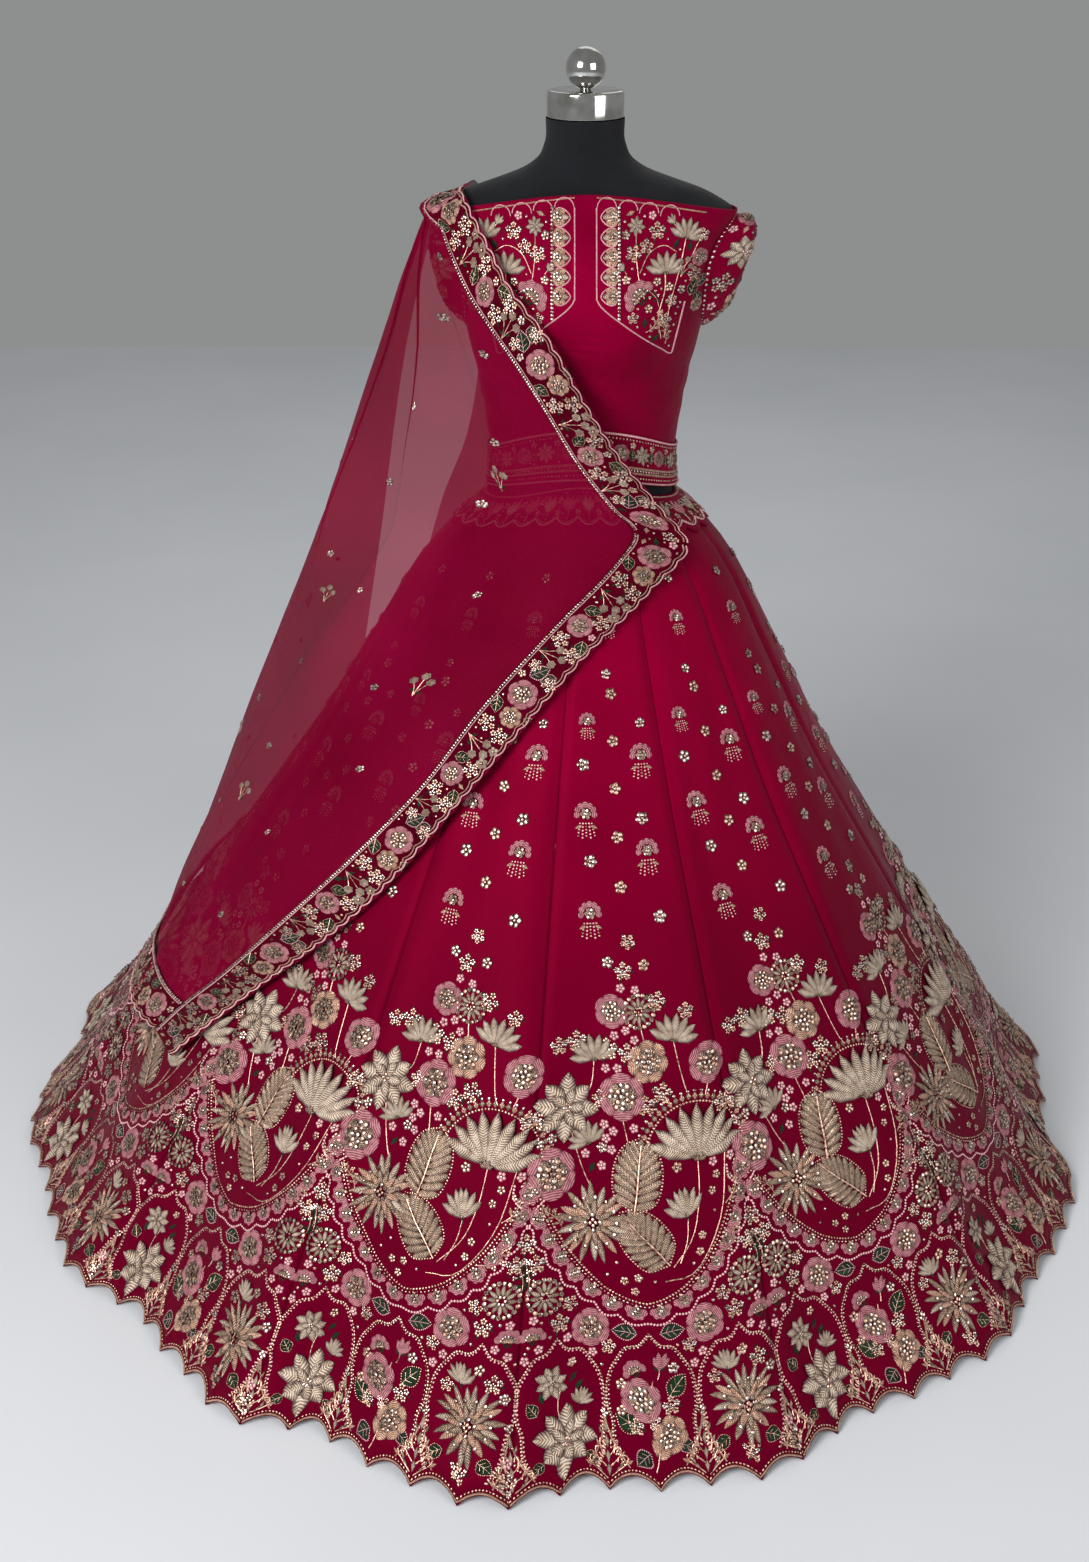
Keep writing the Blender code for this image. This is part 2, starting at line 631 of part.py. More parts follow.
def clear_of_body(points, lift):
    """Moves points out until they clear the skirt and the blouse by a lift."""
    x, y, z = points[..., 0], points[..., 1], points[..., 2]
    waist = WAIST_HEIGHT + WAIST_FRONT_RISE * front_share(np.arctan2(y, x))
    drop = np.clip(1 - z / waist, 0, 1)
    angle = np.arctan2(y, x - HEM_CENTRE_X * drop)
    centre, radius, _ = skirt_base(angle, drop)
    over_waist = SHAWL_WAIST_LIFT * np.exp(-(((z - waist) / SHAWL_WAIST_SPREAD) ** 2))
    need = radius + SHAWL_FOLD_COVER * fold_depth(angle, drop)
    need = need + SHAWL_SKIRT_LIFT * lift + over_waist
    have = np.hypot(x - centre, y)
    grow = np.where((z < waist) & (have < need), need / have, 1.0)
    x = centre + (x - centre) * grow
    y = y * grow
    over = (z - SHAWL_SHOULDER_HEIGHT) / SHAWL_SHOULDER_SPREAD
    lift = lift + SHAWL_SHOULDER_LIFT * np.exp(-(over**2))
    wide = smooth_lookup(z, FORM, "half_width") + choli_ease(z) + lift
    cup = CUP_DEPTH * np.exp(-(((z - CUP_HEIGHT) / CUP_TALL) ** 2))
    front = smooth_lookup(z, FORM, "front") + cup
    deep = np.where(y < 0, front, smooth_lookup(z, FORM, "back")) + choli_ease(z) + lift
    have = np.hypot(x / wide, y / deep)
    inside = (z > waist - SHAWL_WAIST_OVERLAP) & (z < SHAWL_SEAT_HEIGHT) & (have < 1)
    grow = np.where(inside, 1 / np.maximum(have, 1e-6), 1.0)
    return np.stack([x * grow, y * grow, z], -1)


def finer_rows(table, name):
    """One edge of a row table as points, with smooth steps put in between its rows."""
    points = column(table, name)
    places = {
        "columns": ("row", "x", "y", "height"),
        "rows": [(number, *point) for number, point in enumerate(points)],
    }
    steps = np.linspace(0, len(points) - 1, (len(points) - 1) * SHAWL_ROW_STEPS + 1)
    return edge_points(steps, places)


def edge_points(value, table):
    """Points of an edge that a table gives by x, y and height."""
    return np.stack([smooth_lookup(value, table, name) for name in ("x", "y", "height")], -1)


def shawl_grid():
    """The front fall of the shawl: rows down it, columns from the border's outer edge to the rear."""
    rows = []
    border = np.linspace(-1, 0, SHAWL_BORDER_COLUMNS + 1)
    field = np.linspace(0, 1, SHAWL_FIELD_COLUMNS + 1)[1:] ** SHAWL_FIELD_CROWDING
    outers = finer_rows(SHAWL_ROWS, "outer")
    inners = finer_rows(SHAWL_ROWS, "inner")
    row_falls = column(SHAWL_ROWS, "fall")
    falls = np.interp(np.arange(len(outers)) / SHAWL_ROW_STEPS, np.arange(len(row_falls)), row_falls)
    for outer, inner, fall in zip(outers, inners, falls):
        flank = edge_points(fall, SHAWL_FLANK)
        rear = edge_points(fall, SHAWL_REAR)
        line = [inner + (outer - inner) * -u for u in border]
        for u in field:
            toward = (1 - u) * (1 - 2 * u), 4 * u * (1 - u), u * (2 * u - 1)
            line.append(toward[0] * inner + toward[1] * flank + toward[2] * rear)
        rows.append(line)
    grid = np.array(rows)
    normals = grid_normals(grid)
    u = np.concatenate([border, field])[None, :]
    fullest = np.sin(pi * falls**SHAWL_RIPPLE_RISE)[:, None]
    ripple = np.sin(2 * pi * SHAWL_RIPPLES * u) * (u > 0) * fullest
    grid = grid + normals * (SHAWL_RIPPLE_DEPTH * ripple)[..., None]
    return clear_of_body(grid, SHAWL_LIFT)


def row_number(table, name):
    """Where a named row of a table comes among the finer rows."""
    return [row[0] for row in table["rows"]].index(name) * SHAWL_ROW_STEPS


def build_shawl(collection, net, embroidery):
    """Front fall with its border in three stretches, and the plainer back fall with its own."""
    grid = shawl_grid()
    normals = grid_normals(grid)
    wall("dupatta_front", grid, normals, -NET_WALL, 0.0, collection, net)
    pin = row_number(SHAWL_ROWS, SHAWL_PIN_ROW)
    end = row_number(SHAWL_ROWS, SHAWL_END_ROW)
    edge = slice(0, SHAWL_BORDER_COLUMNS + 1)
    outside = BORDER_LIFT + BORDER_WALL
    upper = grid[: pin + 1, edge].copy()
    lower = grid[pin:, edge].copy()
    lower[0] = lower[0] + (lower[1] - lower[0]) * BORDER_JOIN
    last = grid[end:, SHAWL_BORDER_COLUMNS:].copy()
    last[:, 0] = last[:, 0] + (last[:, 1] - last[:, 0]) * BORDER_JOIN
    pieces = (
        ("dupatta_border_upper", upper, normals[: pin + 1, edge]),
        ("dupatta_border_lower", lower, normals[pin:, edge]),
        ("dupatta_border_end", last, normals[end:, SHAWL_BORDER_COLUMNS:]),
    )
    for name, points, directions in pieces:
        wall(name, points, directions, BORDER_LIFT, outside, collection, embroidery)

    across = np.linspace(0, 1, BACK_FALL_COLUMNS_ACROSS + 1)
    spine = finer_rows(BACK_FALL_ROWS, "spine")[:, None]
    side = finer_rows(BACK_FALL_ROWS, "side")[:, None]
    back = spine + (side - spine) * across[None, :, None]
    normals = grid_normals(back)
    down = np.linspace(0, 1, len(spine))[:, None]
    ripple = np.sin(2 * pi * BACK_RIPPLES * across)[None, :] * down
    back = clear_of_body(back + normals * (BACK_RIPPLE_DEPTH * ripple)[..., None], SHAWL_LIFT)
    normals = grid_normals(back)
    wall("dupatta_back", back, normals, -NET_WALL, 0.0, collection, net)
    band = row_number(BACK_FALL_ROWS, BACK_FALL_END_ROW)
    wall(
        "dupatta_border_back_end",
        back[band:],
        normals[band:],
        BORDER_LIFT,
        outside,
        collection,
        embroidery,
    )


def main():
    for old in list(bpy.data.objects):
        bpy.data.objects.remove(old, do_unlink=True)
    collection = bpy.data.collections.new(COLLECTION_NAME)
    bpy.context.scene.collection.children.link(collection)
    silk = material("crimson silk", (0.262, 0.0, 0.026), 0.45)
    embroidery = material("gold embroidery", (0.52, 0.30, 0.24), 0.5)
    net = material("crimson net", (0.33, 0.01, 0.06), 0.55)
    jersey = material("black jersey", (0.012, 0.013, 0.015), 0.85)
    chrome = material("chrome", (0.60, 0.59, 0.57), 0.12, 1.0)
    enamel = material("black enamel", (0.02, 0.02, 0.02), 0.4)
    build_form(collection, jersey, chrome, enamel)
    build_skirt(collection, silk, embroidery)
    build_choli(collection, silk, embroidery)
    build_shawl(collection, net, embroidery)


main()
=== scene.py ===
import math

import bpy
import numpy as np
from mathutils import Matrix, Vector


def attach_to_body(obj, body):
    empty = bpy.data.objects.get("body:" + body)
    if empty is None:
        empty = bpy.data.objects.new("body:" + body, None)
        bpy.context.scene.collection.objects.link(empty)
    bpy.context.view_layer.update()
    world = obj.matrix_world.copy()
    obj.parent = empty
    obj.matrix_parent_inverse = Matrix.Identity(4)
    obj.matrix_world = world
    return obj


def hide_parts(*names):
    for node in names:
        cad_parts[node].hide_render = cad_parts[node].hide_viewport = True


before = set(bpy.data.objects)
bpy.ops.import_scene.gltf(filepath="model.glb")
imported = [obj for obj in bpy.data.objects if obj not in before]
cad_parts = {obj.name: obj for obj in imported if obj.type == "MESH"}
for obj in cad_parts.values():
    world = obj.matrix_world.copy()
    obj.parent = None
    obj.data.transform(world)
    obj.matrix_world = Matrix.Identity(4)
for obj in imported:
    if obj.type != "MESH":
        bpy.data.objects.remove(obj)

for spare in ("Cube", "Light", "Camera"):  # Blender's own starting objects
    if spare in bpy.data.objects:
        bpy.data.objects.remove(bpy.data.objects[spare])

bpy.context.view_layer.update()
pi = math.pi


# colours and nodes

def linearColour(hexText):
    parts = [int(hexText[i:i + 2], 16) / 255 for i in (0, 2, 4)]
    return (*(p / 12.92 if p <= 0.04045 else ((p + 0.055) / 1.055) ** 2.4 for p in parts), 1.0)


# a text given to a socket is a colour, and a link from a node starts at its first output
def addNode(tree, kind, settings=None, links=None):
    node = tree.nodes.new("ShaderNode" + kind)
    for key, value in (settings or {}).items():
        if isinstance(key, int) or key in node.inputs:
            node.inputs[key].default_value = linearColour(value) if isinstance(value, str) else value
        else:
            setattr(node, key, value)
    for key, source in (links or {}).items():
        tree.links.new(getattr(source, "outputs", [source])[0], node.inputs[key])
    return node


def startMaterial(name, shader):
    made = bpy.data.materials.new(name)
    made.use_nodes = True
    tree = made.node_tree
    tree.nodes.clear()
    body = addNode(tree, "BsdfPrincipled", shader)
    addNode(tree, "OutputMaterial", links={"Surface": body})
    return made, tree, body


def twoTone(tree, factor, look, low, high):
    ramp = addNode(tree, "ValToRGB", links={"Fac": factor} if factor else None)
    for end, place, tone in zip(ramp.color_ramp.elements, (low, high), (look["dark"], look["light"])):
        end.position, end.color = place, linearColour(tone)
    return ramp


# Woven cloth: a plain or satin weave seen as a faint grid, and slow unevenness in the dye
def wovenCloth(name, **look):
    made, tree, body = startMaterial(name, look["shader"])
    place = addNode(tree, "TexCoord").outputs["Object"]
    dye = addNode(tree, "TexNoise", {"Scale": 1 / look["dyePatch"], "Detail": 4.0}, {"Vector": place})
    slub = addNode(tree, "TexNoise", {"Scale": 1 / look["thread"], "Detail": 2.0}, {"Vector": place})
    tone = twoTone(tree, addNode(tree, "Math", {"operation": "MULTIPLY_ADD", 1: 0.35}, {0: slub, 2: dye}), look, 0.45, 0.9)
    if "shade" in look:  # stitches crowded near the hem keep light off the silk between them
        height = addNode(tree, "SeparateXYZ", links={"Vector": place}).outputs["Z"]
        low, high = look["shadeHeights"]
        dim = addNode(tree, "MapRange", {"From Min": low, "From Max": high, "To Min": 1.0, "To Max": 0.0}, {"Value": height})
        tone = addNode(tree, "MixRGB", {"Color2": look["shade"]}, {"Fac": dim, "Color1": tone})
    tree.links.new(tone.outputs[0], body.inputs["Base Color"])
    wave = {"Scale": 0.05 / look["thread"], "Distortion": 1.5}
    warp, weft = (addNode(tree, "TexWave", wave | {"bands_direction": way}, {"Vector": place}) for way in "ZX")
    grid = addNode(tree, "Math", {"operation": "MULTIPLY"}, {0: warp.outputs["Fac"], 1: weft.outputs["Fac"]})
    bump = addNode(tree, "Bump", {"Strength": look["weave"], "Distance": 0.0004}, {"Height": grid})
    crush = addNode(tree, "TexNoise", {"Scale": 1 / look["crush"], "Detail": 3.0}, {"Vector": place})
    soft = addNode(tree, "Bump", {"Strength": look["crushDepth"], "Distance": 0.004}, {"Height": crush, "Normal": bump})
    tree.links.new(soft.outputs[0], body.inputs["Normal"])
    return made


# painted shade: colour darkens towards the outline of a stitch, where it turns under and meets the cloth and lies in
# shade.
# The UV map holds the place across a stitch, from -1 to 1, and the way along it in millimetres.
def paintEdgeShade(tree, tone, edge, rim):
    parts = addNode(tree, "SeparateXYZ", links={"Vector": addNode(tree, "TexCoord").outputs["UV"]})
    side = addNode(tree, "Math", {"operation": "ABSOLUTE"}, {0: parts.outputs["X"]})
    near = addNode(tree, "MapRange", {"From Min": rim, "From Max": 1.0, "To Min": 0.0, "To Max": 1.0}, {"Value": side})
    return addNode(tree, "MixRGB", {"Color2": edge}, {"Fac": near, "Color1": tone}), side, parts.outputs["Y"]


# Laid thread: rows of satin stitch slant out from a petal's middle and sink at its outline; each row is painted with a
# highlight on its crown and shade between rows, and the outline with painted shade
def laidThread(name, **look):
    made, tree, body = startMaterial(name, look["shader"])
    ramp = twoTone(tree, None, look, 0.30, 0.66)
    # painted shade at the outline of each stitch
    tone, side, along = paintEdgeShade(tree, ramp, look["edge"], look["rim"])
    slant = addNode(tree, "Math", {"operation": "MULTIPLY_ADD", 1: -look["slant"]}, {0: side, 2: along})
    turns = addNode(tree, "Math", {"operation": "MULTIPLY", 1: 2 * pi / look["pitch"]}, {0: slant})
    rows = addNode(tree, "Math", {"operation": "SINE"}, {0: turns})
    place = addNode(tree, "TexCoord").outputs["Object"]
    patch = addNode(tree, "TexNoise", {"Scale": 1 / look["patch"], "Detail": 3.0}, {"Vector": place})
    # painted highlight along each row and painted shade between rows, mixed with the floss's random tone
    toneAndPaintedRowLight = addNode(tree, "Math", {"operation": "MULTIPLY_ADD", 1: 0.26}, {0: rows, 2: patch})
    tree.links.new(toneAndPaintedRowLight.outputs[0], ramp.inputs["Fac"])
    tree.links.new(tone.outputs[0], body.inputs["Base Color"])
    bump = addNode(tree, "Bump", {"Strength": 0.8, "Distance": 0.0004}, {"Height": rows})
    tree.links.new(bump.outputs[0], body.inputs["Normal"])
    return made


# Small metal or glass pieces: colour and gloss change from bead to bead. On beads and sequins the colour runs from dark
# to very bright, partly real tone and partly painted glints and painted shade
def beadMetal(name, **look):
    made, tree, body = startMaterial(name, look["shader"])
    place = addNode(tree, "TexCoord").outputs["Object"]
    patch = addNode(tree, "TexNoise", {"Scale": 1 / look["patch"], "Detail": 2.0}, {"Vector": place})
    # painted glints and painted shade: bright and dark beads by turns, over the real tone from bead to bead
    tone = twoTone(tree, patch, look, 0.36, 0.60)
    # painted shade towards each bead's rim
    if "edge" in look:
        tone = paintEdgeShade(tree, tone, look["edge"], 0.5)[0]
    tree.links.new(tone.outputs[0], body.inputs["Base Color"])
    gloss = {"From Min": 0.3, "From Max": 0.7, "To Min": look["smooth"], "To Max": look["worn"]}
    rough = addNode(tree, "MapRange", gloss, {"Value": patch})
    tree.links.new(rough.outputs[0], body.inputs["Roughness"])
    return made


crimson = {"IOR": 1.28, "Sheen Roughness": 0.35, "Sheen Tint": "C0104F"}
# Art silk: a close satin of fine filament, deep crimson with a soft sheen along folds.
# Its threads are 0.2 mm apart, too fine to show, and are drawn 2.4 mm apart.
artSilk = wovenCloth(
    "artSilkCrimson", dark="6E0022", light="88002C", shade="60001E", shadeHeights=(0.36, 0.66),
    dyePatch=0.25, thread=0.0024, weave=0.06, crush=0.05, crushDepth=0.45,
    shader=crimson | {"Roughness": 0.44, "Specular IOR Level": 0.30, "Specular Tint": "F03058", "Sheen Weight": 0.05})
# Silk under the heavy embroidery: the same cloth, drawn a little tighter
artSilkBlouse = wovenCloth(
    "artSilkBlouse", dark="6A0021", light="86002D", dyePatch=0.12, thread=0.0024, weave=0.06, crush=0.022, crushDepth=0.55,
    shader=crimson | {"Roughness": 0.50, "Specular IOR Level": 0.26, "Specular Tint": "E0407A", "Sheen Weight": 0.10})
# Border silk: the ground of the shawl's borders, darker because stitches crowd it and shade it
artSilkBorder = wovenCloth(
    "artSilkBorder", dark="40000F", light="5A001A", dyePatch=0.10, thread=0.0024, weave=0.06, crush=0.020, crushDepth=0.5,
    shader={"Roughness": 0.52, "IOR": 1.28, "Specular IOR Level": 0.20, "Specular Tint": "E0407A"})
# Soft net: hexagonal mesh of hair-thin yarn with 1 mm holes, so the eye sees a tint rather than a surface
softNet = wovenCloth(
    "softNet", dark="6A0020", light="860432", dyePatch=0.3, thread=0.0026, weave=0.15, crush=0.03, crushDepth=0.4,
    shader=crimson | {"Roughness": 0.6, "Specular IOR Level": 0.05, "Alpha": 0.78, "Sheen Weight": 0.04, "Sheen Roughness": 0.4})
# Knitted jersey pulled over the form: matte, with fine ribs
blackJersey = wovenCloth(
    "blackJersey", dark="0C0D10", light="16171B", dyePatch=0.08, thread=0.0022, weave=0.5, crush=0.02, crushDepth=0.3,
    shader={"Roughness": 0.9, "IOR": 1.45, "Specular IOR Level": 0.2, "Sheen Weight": 0.06, "Sheen Roughness": 0.6})
# Chromed steel: mirror bright, with faint turning marks and a thumbed haze
chrome = beadMetal("polishedChrome", dark="B4B2AD", light="D2D1CE", patch=0.03, smooth=0.06, worn=0.14, shader={"Metallic": 1.0})
# Baked enamel on the hidden steel stand: a smooth black coat
blackEnamel = beadMetal(
    "blackEnamel", dark="0E0E0E", light="1A1A1C", patch=0.05, smooth=0.3, worn=0.45,
    shader={"Metallic": 0.0, "Coat Weight": 0.3, "Coat Roughness": 0.2})
cream, roseGold, pink, green, cordPink, bead, sequin, zari = range(8)
# each edge colour is painted shade at the outline of a stitch or bead
threadSet = [
    # Silk floss laid side by side, bright along its middle and darkened at its outline by painted shade: 0.5 mm rows,
    # drawn 3 mm apart so that they show, each with a painted highlight
    laidThread("laidCreamThread", dark="806048", light="E6D2BC", edge="3C1216", pitch=3.0, slant=5.0, patch=0.010, rim=0.32,
               shader={"Roughness": 0.45, "Metallic": 0.15, "Sheen Weight": 0.1}),
    laidThread("laidRoseGoldThread", dark="875845", light="E4B89C", edge="4A181E", pitch=2.4, slant=3.0, patch=0.005, rim=0.60,
               shader={"Roughness": 0.38, "Metallic": 0.35, "Sheen Weight": 0.1}),
    # Cut pile of pink floss: soft, with no lustre
    laidThread("laidPinkThread", dark="7E3C46", light="CC8C92", edge="6E2838", pitch=2.4, slant=1.0, patch=0.006, rim=0.72,
               shader={"Roughness": 0.6, "Specular IOR Level": 0.25, "Sheen Weight": 0.12, "Sheen Roughness": 0.4,
                       "Sheen Tint": "F0B0B8"}),
    # Bottle green floss: dark leaves that set off the pale flowers
    laidThread("laidGreenThread", dark="07160B", light="1E4228", edge="22190F", pitch=1.6, slant=3.0, patch=0.010, rim=0.72,
               shader={"Roughness": 0.6, "Specular IOR Level": 0.2, "Sheen Weight": 0.05, "Sheen Tint": "5C8C60"}),
    # Twisted cord: a bright pink line
    laidThread("twistedPinkCord", dark="C67E88", light="FFC8C8", edge="8A3A48", pitch=2.0, slant=1.0, patch=0.006, rim=0.70,
               shader={"Roughness": 0.45, "Sheen Weight": 0.2, "Metallic": 0.15}),
    # Cut coil of gilt wire and foil sequins: small sharp glints, from the metal's gloss and from painted glints in
    # their colour
    beadMetal("dabkaGoldBead", dark="9A6C58", light="FFD6BC", edge="4E1A20", patch=0.004, smooth=0.22, worn=0.45,
              shader={"Metallic": 0.8}),
    beadMetal("roseGoldSequin", dark="7A564C", light="FFECDE", edge="5A2A2A", patch=0.004, smooth=0.12, worn=0.35,
              shader={"Metallic": 0.85}),
    # Dull metal thread: darker and greyer than the floss, with a broken glitter, partly the metal's gloss and partly
    # painted glints in small bright patches of its colour
    laidThread("dullZariThread", dark="5A4336", light="DBBCA2", edge="2E1014", pitch=2.6, slant=5.0, patch=0.004, rim=0.42,
               shader={"Roughness": 0.34, "Metallic": 0.55}),
]
print("materials made")


# shapes shared with the solids

def inMetres(*rows):
    return np.array(rows, float) / 1000


def smoothLookup(value, table, column):
    table = np.asarray(table, float)
    xs, ys = table[:, 0], table[:, column]
    slopes = np.gradient(ys, xs)
    value = np.clip(value, xs[0], xs[-1])
    i = np.clip(np.searchsorted(xs, value) - 1, 0, len(xs) - 2)
    step = xs[i + 1] - xs[i]
    t = (value - xs[i]) / step
    near = (2 * t**3 - 3 * t**2 + 1) * ys[i] + (t**3 - 2 * t**2 + t) * step * slopes[i]
    far = (3 * t**2 - 2 * t**3) * ys[i + 1] + (t**3 - t**2) * step * slopes[i + 1]
    return near + far


def numbered(rows):
    return np.column_stack([np.arange(len(rows)), rows])


# a length run along a line, from 0 at its start
def rowRun(line):
    return np.concatenate([[0], np.cumsum(np.linalg.norm(np.diff(line, axis=0), axis=1))])


skirt = {
    "panels": 14, "firstSeam": math.radians(-92.5), "tipsPerPanel": 6,
    "waist": 0.995, "frontRise": 0.030, "waistEase": 0.0023, "hemCentreX": -0.057,
    "tipHeight": 0.0016, "notch": 0.013, "fold": 0.015, "foldChange": 0.005, "foldStart": 0.25,
    "creaseDepth": 0.0045, "creaseHalfWidth": 0.008, "slant": 1.21, "thickness": 0.0011,
    # drop from waist to hem and the flare reached by then, as shares
    "profile": ((0, 0), (0.035, 0.062), (0.08, 0.118), (0.2, 0.222), (0.35, 0.347), (0.5, 0.489),
                (0.65, 0.631), (0.8, 0.784), (0.92, 0.895), (1, 1)),
    # hem seen from above: degrees from +X towards +Y, radius
    "plan": ((-180, 0.795), (-160, 0.785), (-140, 0.765), (-125, 0.772), (-110, 0.795), (-92, 0.822), (-75, 0.822),
             (-55, 0.815), (-35, 0.832), (-12, 0.812), (15, 0.805), (45, 0.8), (90, 0.8), (135, 0.8), (180, 0.795)),
}
panelAngle = 2 * pi / skirt["panels"]

# the dress form in mm: height, half width, depth to the front, depth to the back
form = inMetres(
    (800, 150, 100, 105), (850, 160, 108, 118), (900, 155, 104, 112), (950, 138, 94, 98), (1000, 121, 84, 86),
    (1040, 116, 82, 82), (1100, 123, 90, 84), (1160, 136, 106, 90), (1220, 148, 120, 94), (1260, 153, 119, 95),
    (1300, 160, 105, 93), (1330, 172, 90, 86), (1350, 183, 76, 76), (1363, 186, 66, 68), (1374, 170, 60, 63),
    (1385, 148, 57, 60), (1398, 110, 54, 56), (1408, 82, 52, 53), (1420, 62, 50, 51), (1440, 50.5, 49, 49),
    (1469.5, 49, 49, 49),
)


def frontShare(angle):
    return np.clip(-np.sin(angle), 0, 1) ** 2


def skirtBase(angle, drop):
    hemRadius = smoothLookup((np.degrees(angle) + 180) % 360 - 180, skirt["plan"], 1)
    waistHeight = skirt["waist"] + skirt["frontRise"] * frontShare(angle)
    wide, front, back = (smoothLookup(waistHeight, form, k) + skirt["waistEase"] for k in (1, 2, 3))
    deep = np.where(np.sin(angle) < 0, front, back)
    waistRadius = wide * deep / np.hypot(deep * np.cos(angle), wide * np.sin(angle))
    flare = smoothLookup(drop, skirt["profile"], 1)
    return skirt["hemCentreX"] * drop, waistRadius + (hemRadius - waistRadius) * flare, waistHeight * (1 - drop)


def foldDepth(angle, drop):
    grown = np.clip((drop - skirt["foldStart"]) / (1 - skirt["foldStart"]), 0, 1) ** 1.6
    return grown * (skirt["fold"] + skirt["foldChange"] * np.sin(3 * angle + 0.8))


def skirtPoint(angle, share):
    phase = ((angle - skirt["firstSeam"]) / panelAngle) % 1.0
    tip = np.abs(np.sin(pi * phase * skirt["tipsPerPanel"])) ** 0.8
    drop = share - (skirt["tipHeight"] + skirt["notch"] * tip) / skirt["waist"] * share**12
    centre, radius, height = skirtBase(angle, drop)
    fromSeam = np.minimum(phase, 1 - phase) * panelAngle * radius
    crease = skirt["creaseDepth"] * np.clip(drop / 0.15, 0, 1) * np.exp(-((fromSeam / skirt["creaseHalfWidth"]) ** 2))
    turn = 2 * pi * (phase - 0.10)
    saw = -(np.sin(turn) + 0.35 * np.sin(2 * turn))
    # soft hand-sized unevenness of cloth that hangs, not cut into the solids
    hang = (np.sin(11 * angle + 5 * drop) + 0.7 * np.sin(23 * angle - 9 * drop + 1.3)
            + 0.5 * np.sin(37 * angle + 16 * drop + 0.6))
    radius = radius + foldDepth(angle, drop) * saw - crease + 0.0012 * hang * np.clip(drop * 3, 0, 1)
    return np.stack([centre + radius * np.cos(angle), radius * np.sin(angle), height], -1)


def meanRadius(up):
    return 0.125 + 0.682 * smoothLookup(1 - up / skirt["slant"], skirt["profile"], 1)


cups = {"angle": math.radians(30), "width": 0.33, "height": 1.235, "tall": 0.042, "depth": 0.010}


def formPoint(angle, height, ease):
    wide, front, back = (smoothLookup(height, form, k) for k in (1, 2, 3))
    bump = cups["depth"] * np.exp(-(((height - cups["height"]) / cups["tall"]) ** 2))
    for side in (-1, 1):
        front = front + bump * np.exp(-(((angle + pi / 2 - side * cups["angle"]) / cups["width"]) ** 2))
    deep = np.where(np.sin(angle) < 0, front, back) + ease
    return np.stack([(wide + ease) * np.cos(angle), deep * np.sin(angle), height + 0 * angle], -1)


# mesh making

def unit(vectors):
    return vectors / np.maximum(np.linalg.norm(vectors, axis=-1, keepdims=True), 1e-12)


def gridNormals(grid, closed=False):
    across = np.roll(grid, -1, 1) - np.roll(grid, 1, 1) if closed else np.gradient(grid, axis=1)
    normals = unit(np.cross(across, np.gradient(grid, axis=0)))
    outward = grid - grid.mean(axis=1, keepdims=True) if closed else grid * (1, 1, 0)
    return normals if (normals * outward).sum() > 0 else -normals


def meshFrom(name, points, faces, materials, slots=None, uvs=None, smooth=True):
    mesh = bpy.data.meshes.new(name)
    faces = np.asarray(faces, np.int32)
    mesh.vertices.add(len(points))
    mesh.vertices.foreach_set("co", np.asarray(points, np.float32).ravel())
    mesh.loops.add(faces.size)
    mesh.loops.foreach_set("vertex_index", faces.ravel())
    mesh.polygons.add(len(faces))
    mesh.polygons.foreach_set("loop_start", np.arange(0, faces.size, faces.shape[1], dtype=np.int32))
    mesh.polygons.foreach_set("use_smooth", np.full(len(faces), smooth))
    for one in materials:
        mesh.materials.append(one)
    if slots is not None:
        mesh.polygons.foreach_set("material_index", np.asarray(slots, np.int32))
        mesh.uv_layers.new(name="stitch").data.foreach_set("uv", np.asarray(uvs, np.float32)[faces.ravel()].ravel())
    mesh.update(calc_edges=True)
    mesh.validate()
    made = bpy.data.objects.new(name, mesh)
    bpy.context.scene.collection.objects.link(made)
    return made


def gridFaces(rows, columns, closed=False):
    index = np.arange(rows * columns).reshape(rows, columns)
    right = np.roll(index, -1, 1) if closed else index[:, 1:]
    left = index if closed else index[:, :-1]
    return np.stack([left[:-1], left[1:], right[1:], right[:-1]], -1).reshape(-1, 4)


def attach(piece, node=None):
    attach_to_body(piece, "root")
    if node:
        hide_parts(node)
    return piece


# a cloth shell: outer skin, inner skin, and the raw edges between them
def clothShell(name, grid, normals, inside, outside, material, closed=False):
    points = np.concatenate([(grid + normals * side).reshape(-1, 3) for side in (outside, inside)])
    skin = gridFaces(*grid.shape[:2], closed)
    index = np.arange(len(points) // 2).reshape(grid.shape[:2])
    faces = [skin, skin[:, ::-1] + index.size]
    rim = np.concatenate([index[0], index[1:, -1], index[-1, -2::-1], index[-2:0:-1, 0]])
    for loop in [index[0], index[-1][::-1]] if closed else [rim]:
        after = np.roll(loop, -1)
        faces.append(np.stack([loop, after, after + index.size, loop + index.size], -1))
    faces = np.concatenate(faces)
    if (np.cross(grid[1, 0] - grid[0, 0], grid[0, 1] - grid[0, 0]) * normals[0, 0]).sum() < 0:
        faces = faces[:, ::-1]
    return meshFrom(name, points, faces, [material])


